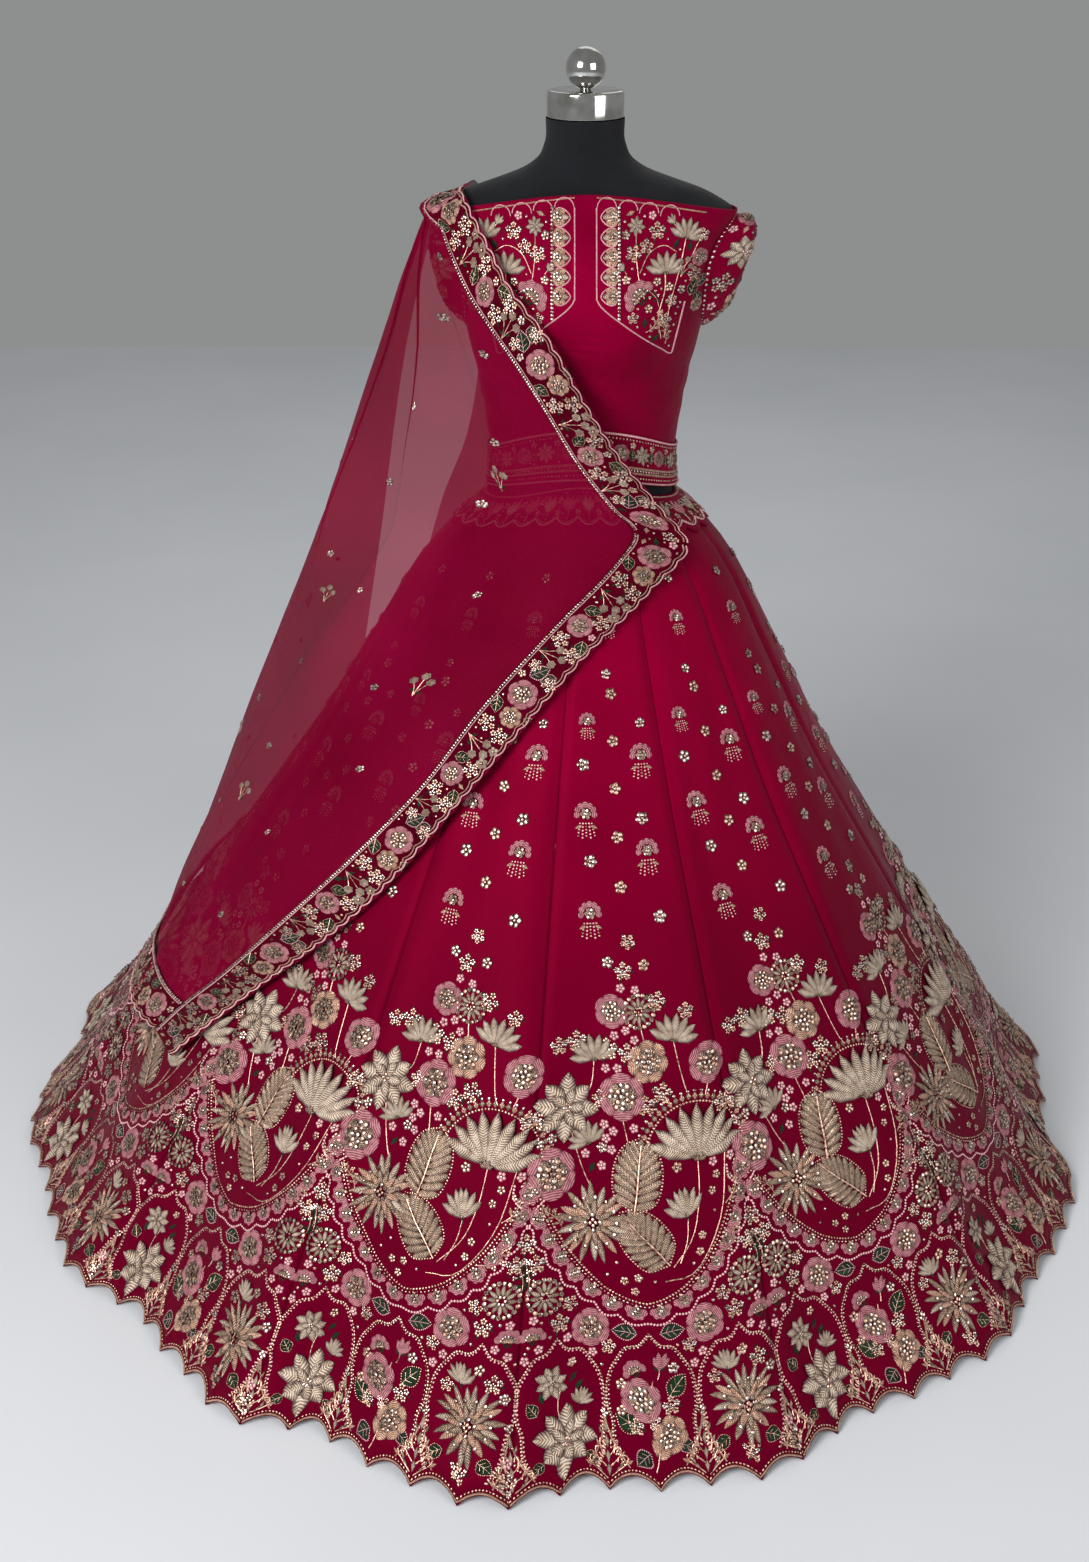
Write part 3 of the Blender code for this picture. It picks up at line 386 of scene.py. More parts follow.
# samples a dense grid of points as a surface: a runs along the rows, b across the columns, both in metres
def gridSurface(grid, rowPlaces, columnPlaces):
    def surface(a, b):
        i = np.clip(np.interp(a, rowPlaces, np.arange(len(rowPlaces))), 0, len(rowPlaces) - 1.001)
        j = np.clip(np.interp(b, columnPlaces, np.arange(len(columnPlaces))), 0, len(columnPlaces) - 1.001)
        i0, j0 = i.astype(int), j.astype(int)
        s, t = (i - i0)[:, None], (j - j0)[:, None]
        low = grid[i0, j0] * (1 - t) + grid[i0, j0 + 1] * t
        high = grid[i0 + 1, j0] * (1 - t) + grid[i0 + 1, j0 + 1] * t
        return low * (1 - s) + high * s
    return surface


# stitches: small raised shapes drawn flat in metres, then laid on a surface.
# A turn is clockwise from straight up, in degrees.

def turned(points, turn, x=0.0, y=0.0):
    c, s = math.cos(math.radians(turn)), math.sin(math.radians(turn))
    across, up = points[..., 0], points[..., 1]
    return np.stack([x + across * c + up * s, y - across * s + up * c], -1)


class Stitches:
    def __init__(self):
        self.points, self.uvs, self.faces, self.slots, self.count = [], [], [], [], 0

    def add(self, points, uvs, faces, slot):
        self.points.append(points)
        self.uvs.append(uvs)
        self.faces.append(faces + self.count)
        self.slots.append(np.broadcast_to(slot, len(faces)))
        self.count += len(points)

    def joined(self):
        if len(self.points) > 1:
            for part in (self.points, self.uvs, self.faces, self.slots):
                part[:] = [np.concatenate(part)]
        return self.points[0], self.uvs[0], self.faces[0], self.slots[0]

    def place(self, motif, x, y, size=1.0, turn=0.0, flip=False):
        points, uvs, faces, slots = motif.joined()
        flat = points[:, :2] * size * (-1 if flip else 1, 1)
        points = np.column_stack([turned(flat, turn, x, y), points[:, 2] * min(size, 1.3)])
        self.add(points, uvs, faces[:, ::-1] if flip else faces, slots)


petalSteps = np.array((0, 0.25, 0.55, 0.82, 1))
petalOutlines = {
    "lotus": np.array((0.22, 0.66, 1.0, 0.62, 0.03)),
    "leaf": np.array((0.10, 0.85, 0.95, 0.50, 0.03)),
    "round": np.array((0.35, 0.80, 1.0, 0.88, 0.35)),
    "slim": np.array((0.35, 0.85, 0.85, 0.55, 0.05)),
}
petalFaces = np.array([f for r in range(0, 12, 3) for c in (r, r + 1) for f in ((c, c + 1, c + 4), (c, c + 4, c + 3))])


def petal(work, slot, x, y, length, width, outline="leaf", lift=0.0016, raised=0.0, turn=0.0, bend=0.0):
    half = width / 2 * petalOutlines[outline]
    side = np.array((-1.0, 0.0, 1.0))[None, :]
    across = side * half[:, None] + (bend * length * petalSteps**2)[:, None]
    up = (petalSteps * length)[:, None] + 0 * side
    ridge = lift * (0.45 + 0.55 * np.sin(pi * petalSteps))
    heights = np.stack([0 * ridge + 0.0001, ridge, 0 * ridge + 0.0001], 1) + raised
    points = np.concatenate([turned(np.stack([across, up], -1), turn, x, y), heights[..., None]], -1)
    work.add(points.reshape(-1, 3), np.stack([side + 0 * up, up * 1000], -1).reshape(-1, 2), petalFaces, slot)


# a small leaf or cut bead: four facets
def seed(work, slot, x, y, length, width, lift=0.0012, raised=0.0, turn=0.0):
    flat = np.array(((0, 0), (-width / 2, length * 0.45), (0, length), (width / 2, length * 0.45), (0, length * 0.5)))
    points = np.column_stack([turned(flat, turn, x, y), np.array((0.0002, 0.0002, 0.0002, 0.0002, lift)) + raised])
    uvs = np.column_stack([(0.9, 1, 0.9, 1, 0), length * np.array((0, 450, 1000, 450, 500))])
    work.add(points, uvs, np.array(((4, 1, 0), (4, 2, 1), (4, 3, 2), (4, 0, 3))), slot)


def dome(work, slot, x, y, radius, height=None, sides=5, tilt=0.0, raised=0.0):
    turns = np.arange(sides) * 2 * pi / sides + (x * 7919 + y * 104729) % 6  # no two lie alike
    low = 0.0002 + np.abs(tilt) * radius + raised
    ring = np.column_stack([x + radius * np.cos(turns), y + radius * np.sin(turns), low + tilt * radius * np.cos(turns)])
    points = np.concatenate([[[x, y, low + (radius * 0.8 if height is None else height)]], ring])
    after = np.roll(np.arange(sides), -1)
    faces = np.stack([np.zeros(sides, int), np.arange(sides) + 1, after + 1], -1)
    uvs = np.column_stack([np.r_[0, np.ones(sides)], np.r_[0, np.full(sides, radius * 1000)]])
    work.add(points, uvs, faces, slot)


def cord(work, slot, line, width=0.0014, lift=0.0012, raised=0.0):
    line = np.asarray(line, float)
    along = unit(np.gradient(line, axis=0))
    side = np.stack([along[:, 1], -along[:, 0]], -1) * width / 2
    flat = np.full(len(line), 0.0001 + raised)
    points = np.stack([np.column_stack(row) for row in ((line - side, flat), (line, flat + lift), (line + side, flat))], 1)
    uvs = np.stack([np.column_stack([np.full(len(line), k), rowRun(line) * 1000]) for k in (-0.9, 0, 0.9)], 1)
    r = (np.arange(len(line) - 1)[:, None] * 3 + np.arange(2)[None, :]).ravel()
    faces = np.concatenate([np.stack([r, r + 1, r + 4], -1), np.stack([r, r + 4, r + 3], -1)])
    work.add(points.reshape(-1, 3), uvs.reshape(-1, 2), faces, slot)


def beadLine(work, slot, line, radius=0.0013, pitch=0.0032, tilt=0.0):
    line = np.asarray(line, float)
    run = rowRun(line)
    places = np.linspace(0, run[-1], max(int(round(run[-1] / pitch)), 1) + 1)
    for x, y in zip(np.interp(places, run, line[:, 0]), np.interp(places, run, line[:, 1])):
        dome(work, slot, x, y, radius, tilt=tilt)


def arc(x, y, radius, start, end, steps):
    turns = np.radians(np.linspace(start, end, steps))
    return np.stack([x + radius * np.sin(turns), y + radius * np.cos(turns)], -1)


# a smooth line through a few points
def curl(points, steps):
    t = np.linspace(0, len(points) - 1, steps)
    return np.stack([smoothLookup(t, numbered(points), k) for k in (1, 2)], -1)


# motifs, in metres at their real size

# petals, seeds or domes set on a circle, their slots taken in turn
def ring(work, draw, slots, turns, radius, *shape, middle=(0, 0), **more):
    for i, turn in enumerate(turns):
        a = math.radians(turn)
        x, y = middle[0] + radius * math.sin(a), middle[1] + radius * math.cos(a)
        draw(work, slots[i % len(slots)], x, y, *shape, **more, **({} if draw is dome else {"turn": turn}))


def evenTurns(count, start=0.0):
    return start + 360 / count * np.arange(count)


# sequins shingled round a heart, each tipped a little; start in radians
def sequinRing(work, slots, x, y, radius, count, size, raised=0.0, start=0.0):
    for i in range(count):
        a = 2 * pi * i / count + start
        place = x + radius * math.cos(a), y + radius * math.sin(a)
        dome(work, slots[i % len(slots)], *place, size, size * 0.45, 5, 0.22, raised)


# rose of soft pile with a wavy edge and a wide heart of sequins, 50 mm across
def rose(work, outer, lobes):
    ring(work, petal, (outer,), evenTurns(lobes), 0.0095, 0.0155, 0.0205 * 7 / lobes, "round", 0.0030)
    ring(work, petal, (zari,), evenTurns(6, 20), 0.003, 0.0130, 0.0125, "round", 0.0026, 0.0016)
    sequinRing(work, (sequin, zari, bead), 0, 0, 0.0125, 12, 0.0031, 0.0030)
    sequinRing(work, (bead, sequin), 0, 0, 0.0068, 7, 0.0029, 0.0042, 0.4)
    dome(work, sequin, 0, 0, 0.0030, 0.0014, 5, 0.1, 0.0046)


# rose seen from the side, 50 mm wide: an arch of pile over a heart of sequins
def halfRose(work):
    ring(work, petal, (pink,), range(-76, 77, 38), 0.0115, 0.0135, 0.0165, "round", 0.0024)
    ring(work, petal, (zari,), range(-78, 79, 26), 0.003, 0.0105, 0.0058, "round", 0.0020, 0.0008)
    ring(work, dome, (sequin,), range(-78, 79, 26), 0.0125, 0.0022, 0.0009, 5, 0.2, 0.002)
    for i in range(4):
        dome(work, bead, -0.006 + 0.004 * i, 0.0025, 0.0019, 0.0016, 5, 0.0, 0.0016)
    for x in (-0.007, 0.0, 0.007):
        seed(work, green, x, 0.0, 0.010, 0.0042, turn=180 + x * 3500)


# lotus seen from the side, 120 mm wide, its petals fanned from one point, under an arch of beads where it is large
def lotus(work, count, arch):
    spread = np.linspace(-78, 78, count)
    for number, i in enumerate(sorted(range(count), key=lambda i: -abs(spread[i]))):
        turn = spread[i]
        far = abs(turn) / 78
        petal(work, cream, 0.003 * math.sin(math.radians(turn)), 0.002 * far, 0.062 - 0.003 * far, 0.0190 * 9 / count,
              "lotus", 0.0042, 0.0006 * number, turn, -0.07 * np.sign(turn) * far)
    for turn in (-60, -20, 20, 60):
        seed(work, zari, 0, -0.003, 0.011, 0.006, 0.0016, 0.007, turn)
    if arch:
        beadLine(work, bead, arc(0, 0, 0.0640, -74, 74, 30), 0.0018, 0.0042)
        rays = np.linspace(-74, 74, 23)
        ring(work, seed, (zari, roseGold), rays, 0.0655, 0.0095, 0.0078)
        ring(work, dome, (sequin,), rays, 0.0762, 0.0021, 0.0012, 5, 0.15)


# lotus bud half open, 52 mm wide and 60 mm tall
def lotusBud(work):
    for number, turn in enumerate((-58, 58, -36, 36, -15, 15, 0)):
        petal(work, cream, 0, 0.004, 0.040 if number < 2 else 0.044, 0.0150,
              "lotus", 0.0034, 0.0005 * number, turn, -0.05 * np.sign(turn))
    ring(work, seed, (green,), (-75, 75, 180), 0, 0.012, 0.006, middle=(0, 0.005))


# lily: eight broad petals about a short heart, 64 mm across
def starLotus(work):
    for i in range(8):
        petal(work, cream, 0, 0, 0.033 - 0.003 * (i % 2), 0.0190, "lotus", 0.0036, 0.0009 * (i % 2) + 0.0002 * i, i * 45 + 8)
    for i in range(5):
        petal(work, cream, 0, 0, 0.019, 0.0120, "lotus", 0.0030, 0.0036 + 0.0003 * i, i * 72 + 25)
    sequinRing(work, (sequin, bead), 0, 0, 0.0030, 4, 0.0021, 0.0066)


# dahlia in cut beads and dull zari: two rings of slim petals about a heart of sequins, 80 mm across
def dahlia(work):
    for i in range(18):
        slots, length = (zari, cream, zari, roseGold)[i % 4], 0.027 - 0.003 * (i % 2)
        ring(work, petal, (slots,), (i * 20 + 3 * (i % 3),), 0.012, length, 0.0088, "slim", 0.0024)
    ring(work, petal, (zari, roseGold), evenTurns(13, 9), 0.006, 0.0165, 0.0076, "slim", 0.0026, 0.0018)
    ring(work, dome, (sequin,), evenTurns(13, 9), 0.0235, 0.0022, 0.0008, 5, 0.3, 0.0030)
    sequinRing(work, (sequin, zari), 0, 0, 0.0072, 8, 0.0024, 0.0040)
    sequinRing(work, (bead,), 0, 0, 0.0028, 4, 0.0020, 0.0042)


# broad veined leaf, 88 mm long and 66 mm wide, its ribs laid in dull zari, base at the origin
def broadLeaf(work):
    rim = [(0.004, 0.0)]
    for i in range(8):
        y = 0.006 + 0.0086 * i
        out = 0.0370 * math.sin(pi * (i + 2.2) / 10.8) ** 0.62
        lean = 74 - 5.5 * i
        if i % 2 == 0:
            rim.append((out * 1.02 * math.sin(math.radians(lean)), y + out * 1.02 * math.cos(math.radians(lean))))
        for side in (-1, 1):
            petal(work, zari, 0, y, out, 0.0128, "round", 0.0030, 0.0004 * (i % 2), side * lean, -0.06 * side)
    petal(work, zari, 0, 0.070, 0.020, 0.015, "leaf", 0.0030)
    for side in (-1, 1):
        beadLine(work, bead, curl(rim + [(0, 0.092)], 22) * (side, 1), 0.0016, 0.0042)
    cord(work, bead, [(0, -0.002), (0.001, 0.025), (0, 0.052), (0, 0.082)], 0.0026, 0.0018, 0.0022)


# green leaf with a beaded outline and veins, 40 mm long, base at the origin
def outlinedLeaf(work, veins):
    petal(work, green, 0, 0, 0.040, 0.027, "leaf", 0.0012)
    left = curl([(0, 0), (-0.0135, 0.012), (-0.0115, 0.027), (0, 0.041)], 9)
    cord(work, veins, [(0, 0), (0, 0.018), (0, 0.036)], 0.0012, 0.0010, 0.0010)
    for side in (-1, 1):
        beadLine(work, veins, left * (-side, 1), 0.0013, 0.0038)
        for y in (0.009, 0.019):
            cord(work, veins, [(0, y), (side * 0.0085, y + 0.007)], 0.0011, 0.0009, 0.0006)


# small plain leaf, 13 mm long
def leaf(work, slot):
    seed(work, slot, 0, 0, 0.013, 0.0062)


# medallion of radiating bars in a beaded ring, 42 mm across
def medallion(work):
    ring(work, petal, (cream, zari), evenTurns(12), 0.0055, 0.0115, 0.0060, "slim", 0.0020)
    sequinRing(work, (zari, bead, sequin), 0, 0, 0.0188, 20, 0.0030, 0.0006)
    sequinRing(work, (sequin, bead), 0, 0, 0.0044, 6, 0.0021, 0.0018)


# five cut beads about a sequin, 12 mm across
def smallFlower(work, slot, heart):
    ring(work, dome, (slot,), evenTurns(5, 10), 0.0037, 0.0027, 0.0018, 5, 0.12)
    dome(work, heart, 0, 0, 0.0018, 0.0014, 4, 0, 0.0014)


# closed bud on its stem, 34 mm tall, base of the stem at the origin
def bud(work, slot):
    cord(work, bead, [(0, 0), (0.0008, 0.006), (0, 0.012)], 0.0014, 0.0012)
    ring(work, petal, (slot,), (-34, 34), 0, 0.018, 0.0080, "lotus", 0.0026, middle=(0, 0.011))
    ring(work, petal, (slot,), (-14, 14), 0, 0.0215, 0.0080, "lotus", 0.0026, 0.0004, middle=(0, 0.011))
    ring(work, seed, (green,), (-62, 62), 0, 0.009, 0.0045, middle=(0, 0.010))


# curving sprig of cut-bead leaves and sequin berries, 50 mm tall
def sprig(work, leafSlot, berrySlot):
    stem = curl([(0, 0), (0.004, 0.016), (0.001, 0.033), (-0.005, 0.048)], 9)
    cord(work, bead, stem, 0.0012, 0.0010)
    for i, (x, y) in enumerate(stem[1:8]):
        seed(work, leafSlot, x, y, 0.0120, 0.0050, turn=-52 if i % 2 else 52)
        if i % 2:
            seed(work, leafSlot, x, y, 0.0100, 0.0042, turn=40)
    for x, y in ((-0.005, 0.051), (-0.0095, 0.046), (-0.001, 0.047), (0.011, 0.022), (-0.009, 0.030), (0.010, 0.034)):
        sequinRing(work, (berrySlot,), x, y, 0.0022, 3, 0.0020)


# bunch of sequin flowers, 30 mm across
def bunch(work):
    for x, y, slot in ((0, 10, bead), (-9, 3, sequin), (9, 4, sequin), (-5, -7, bead), (6, -7, bead), (0, -1, sequin)):
        middle = x / 1000, y / 1000
        ring(work, dome, (slot,), evenTurns(5, x * 9), 0.0032, 0.0025, 0.0018, 4, 0.1, middle=middle)
        dome(work, zari, *middle, 0.0015, 0.0012, 4, 0, 0.0008)
    ring(work, seed, (green,), (0, 95, 200, 290), 0.010, 0.008, 0.0036)


# three round flowers on thin stems, 34 mm tall
def pomSpray(work):
    for x, y in ((-0.011, 0.024), (0.000, 0.032), (0.011, 0.023)):
        cord(work, bead, curl([(0, 0), (x * 0.35, y * 0.5), (x, y)], 5), 0.0011, 0.0009)
        sequinRing(work, (cream,), x, y, 0.0034, 6, 0.0025)
        dome(work, cream, x, y, 0.0027, 0.0022, 5, 0, 0.0006)
    seed(work, green, 0, 0.006, 0.011, 0.0048, turn=62)
    seed(work, green, 0, 0.004, 0.010, 0.0044, turn=-66)


# one scallop of the festoon: a shell of pile with a cluster of sequins, 25 mm wide, opening downwards
def lobe(work):
    ring(work, petal, (pink,), range(100, 261, 40), 0.0042, 0.0085, 0.0088, "round", 0.0020)
    sequinRing(work, (zari, sequin, zari), 0, -0.0030, 0.0044, 6, 0.0025, 0.0012)
    dome(work, sequin, 0, -0.0030, 0.0024, 0.0016, 5, 0.1, 0.0016)
    dome(work, bead, 0, 0.0035, 0.0022, 0.0016, 5, 0.1, 0.0010)


# shell of five laid petals with a cord edge and a sequin foot, 21 mm wide and 23 mm tall, base at the origin
def fan(work):
    for turn, length in ((-54, 0.0130), (54, 0.0130), (-28, 0.0175), (28, 0.0175), (0, 0.0195)):
        petal(work, roseGold if turn else cream, 0, 0, length, 0.0088, "round", 0.0020, turn=turn)
    half = [(0.0090, 0.0030), (0.0108, 0.0085), (0.0075, 0.0165)]
    cord(work, cordPink, curl([(-x, y) for x, y in half] + [(0, 0.0222)] + half[::-1], 19), 0.0017, 0.0014)
    sequinRing(work, (sequin, zari, bead), 0, 0.0060, 0.0042, 7, 0.0024, 0.0016)
    dome(work, sequin, 0, 0.0060, 0.0024, 0.0016, 5, 0.1, 0.0022)


# gold filigree point between two cartouches, 46 mm wide, 58 mm tall
def filigree(work):
    leaves = ((18, 4, 60), (12, 12, 40), (7, 24, 32), (4, 37, 24), (6, 3, 78), (12, 3, 20))
    for side in (-1, 1):
        for a, b in ((0.021, 0.010), (0.014, 0.020), (0.008, 0.030)):
            scroll = ((0.002, b - 0.008), (a * 0.8, b - 0.006), (a, b + 0.002), (a * 0.6, b + 0.006), (a * 0.45, b + 0.001))
            cord(work, bead, curl(np.array(scroll) * (side, 1), 8), 0.0017, 0.0014)
        spine = np.array(((0.022, 0.001), (0.014, 0.016), (0.006, 0.034), (0, 0.056))) * (side, 1)
        cord(work, roseGold, curl(spine, 8), 0.0016, 0.0016)
        for x, y, turn in leaves:
            seed(work, (roseGold, zari)[y % 2], side * x / 1000, y / 1000, 0.0095, 0.0046, turn=side * turn)
        for x, y in ((0.004, 0.012), (0.009, 0.019), (0.004, 0.028), (0.003, 0.044), (0.016, 0.012)):
            dome(work, bead, side * x, y, 0.0016)
    for y in (0.004, 0.016, 0.029, 0.042):
        seed(work, cream, 0, y, 0.012, 0.0054, 0.0018)
    sequinRing(work, (sequin,), 0, 0.060, 0.0026, 4, 0.0022)


# field flower: a hood of pile over a sequin heart with leaves and a beaded fringe, 26 mm wide, 46 mm tall
def hoodFlower(work):
    ring(work, petal, (pink,), range(-96, 97, 32), 0.0066, 0.0064, 0.0072, "round", 0.0019, middle=(0, 0.018))
    sequinRing(work, (zari, sequin, zari), 0, 0.018, 0.0040, 6, 0.0026, 0.0008)
    dome(work, sequin, 0, 0.018, 0.0024, 0.0014, 5, 0.1, 0.0014)
    for i in range(5):
        x = (i - 2) * 0.0042
        thread = [(x * 0.8, 0.008), (x * 1.1, -0.005 - 0.002 * (i % 2))]
        beadLine(work, (bead, cordPink)[i % 2], thread, 0.0012, 0.0034)
    for side in (-1, 1):
        seed(work, roseGold, side * 0.004, 0.006, 0.010, 0.0046, turn=side * 112)


motifs = {}
for key, draw, *choice in (
    ("rosePink", rose, pink, 6), ("roseGold", rose, roseGold, 7), ("halfRose", halfRose), ("bigLotus", lotus, 9, True),
    ("lotus", lotus, 7, False), ("starLotus", starLotus), ("dahlia", dahlia), ("broadLeaf", broadLeaf),
    ("leafGreen", outlinedLeaf, bead), ("leafDark", outlinedLeaf, cordPink), ("tinyGreen", leaf, green),
    ("tinyGold", leaf, roseGold), ("medallion", medallion), ("flowerPink", smallFlower, cordPink, sequin),
    ("flowerGold", smallFlower, bead, sequin), ("flowerSequin", smallFlower, sequin, bead),
    ("flowerCream", smallFlower, cream, bead), ("lotusBud", lotusBud), ("bud", bud, cream), ("budPink", bud, pink),
    ("sprig", sprig, roseGold, bead), ("sprigGreen", sprig, green, sequin), ("bunch", bunch), ("pomSpray", pomSpray),
    ("lobe", lobe), ("fan", fan), ("filigree", filigree), ("hoodFlower", hoodFlower),
):
    motifs[key] = Stitches()
    draw(motifs[key], *choice)
    motifs[key].joined()
print("motifs drawn:", {key: len(one.faces[0]) for key, one in motifs.items()})


# a design names its motifs, each with one or more places: x and y in mm, size in hundredths, turn
def spots(design):
    for key, places in design.items():
        for x, y, size, turn in np.atleast_2d(places):
            yield key, x / 1000, y / 1000, size / 100, turn


# stitches on one piece. The cloth that is already worked is marked in small cells, so that the filling finds bare places
class Layout(Stitches):
    cell = 0.0014

    def __init__(self, low, high):
        super().__init__()
        self.low, self.settled = np.array(low, float), 0
        self.full = np.zeros(np.ceil((np.array(high) - low) / self.cell).astype(int) + 1, bool)

    # marks all that was sewn since the last call
    def settle(self):
        base = sum(len(p) for p in self.points[:self.settled])
        for points, faces in zip(self.points[self.settled:], self.faces[self.settled:]):
            corners = points[faces - base][..., :2]
            base += len(points)
            for share in ((1, 0, 0), (0, 1, 0), (0, 0, 1), (0.34, 0.33, 0.33), (0.5, 0.5, 0), (0, 0.5, 0.5), (0.5, 0, 0.5)):
                places = (corners * np.array(share)[None, :, None]).sum(1)
                i, j = ((places - self.low) / self.cell).astype(int).T
                keep = (i >= 0) & (j >= 0) & (i < self.full.shape[0]) & (j < self.full.shape[1])
                self.full[i[keep], j[keep]] = True
        self.settled = len(self.points)

    def clear(self, x, y, radius):
        i, j = ((np.array((x, y)) - self.low) / self.cell).astype(int)
        r = int(radius / self.cell + 0.5)
        return i >= r and j >= r and not self.full[i - r:i + r + 1, j - r:j + r + 1].any()

    def put(self, key, x, y, size=1.0, turn=0.0):
        self.place(motifs[key], x, y, size, turn)

    # choices name a motif, the room it needs about its middle and its size
    def fill(self, allowed, box, pitch, choices, seed):
        self.settle()
        dice = np.random.default_rng(seed)
        (x0, y0), (x1, y1) = box
        places = np.array([(x, y) for y in np.arange(y0, y1, pitch) for x in np.arange(x0, x1, pitch)])
        for x, y in dice.permutation(places):
            x, y = x + dice.uniform(-0.5, 0.5) * pitch, y + dice.uniform(-0.5, 0.5) * pitch
            if not allowed(x, y) or self.full.shape[0] <= (x - self.low[0]) / self.cell:
                continue
            able = [c for c in choices if self.clear(x, y, c[1])]
            if not able:
                continue
            key, _, size = able[int(dice.integers(len(able)))]
            turn = dice.uniform(0, 360)
            if key == "dot":
                dome(self, (bead, sequin)[int(dice.integers(2))], x, y, size)
            else:
                flat = motifs[key].points[0][:, :2]
                self.put(key, *turned(-size * (flat.min(0) + flat.max(0)) / 2, turn, x, y), size, turn)
            self.settle()


# clusters first, then single flowers where a cluster has no room
def fillClosely(lay, allowed, box, seed):
    lay.fill(allowed, box, 0.0052, (("bunch", 0.0086, 0.66), ("bunch", 0.0092, 0.74)), seed)
    lay.fill(allowed, box, 0.0050, (
        ("flowerGold", 0.0044, 0.92), ("flowerPink", 0.0042, 0.85), ("tinyGold", 0.0044, 0.95),
        ("tinyGreen", 0.0046, 1.05), ("flowerSequin", 0.0044, 0.92),
    ), seed + 1)
    lay.fill(allowed, box, 0.0050, (("dot", 0.0022, 0.0019),), seed + 2)


# lays stitches on a surface. Outward is away from the point middle, taken for the whole piece or for each stitch
def sew(name, stitches, surface, clearance=0.0002, middle=(0, 0, 0), steps=(0.0006, 0.0006), each=False):
    points, uvs, faces, slots = stitches.joined()
    a, b, h = points.T
    here = surface(a, b)
    alongA = surface(a + steps[0], b) - surface(a - steps[0], b)
    alongB = surface(a, b + steps[1]) - surface(a, b - steps[1])
    normals = unit(np.cross(alongA, alongB))
    away = (normals * (here - middle) * (1, 1, 0)).sum(1)
    if each:
        normals = normals * np.where(away < 0, -1.0, 1.0)[:, None]
    elif away.mean() < 0:
        normals, faces = -normals, faces[:, ::-1]
    sewn = meshFrom(name, here + normals * (h + clearance)[:, None], faces, threadSet, slots, uvs)
    return attach(sewn)


# skirt

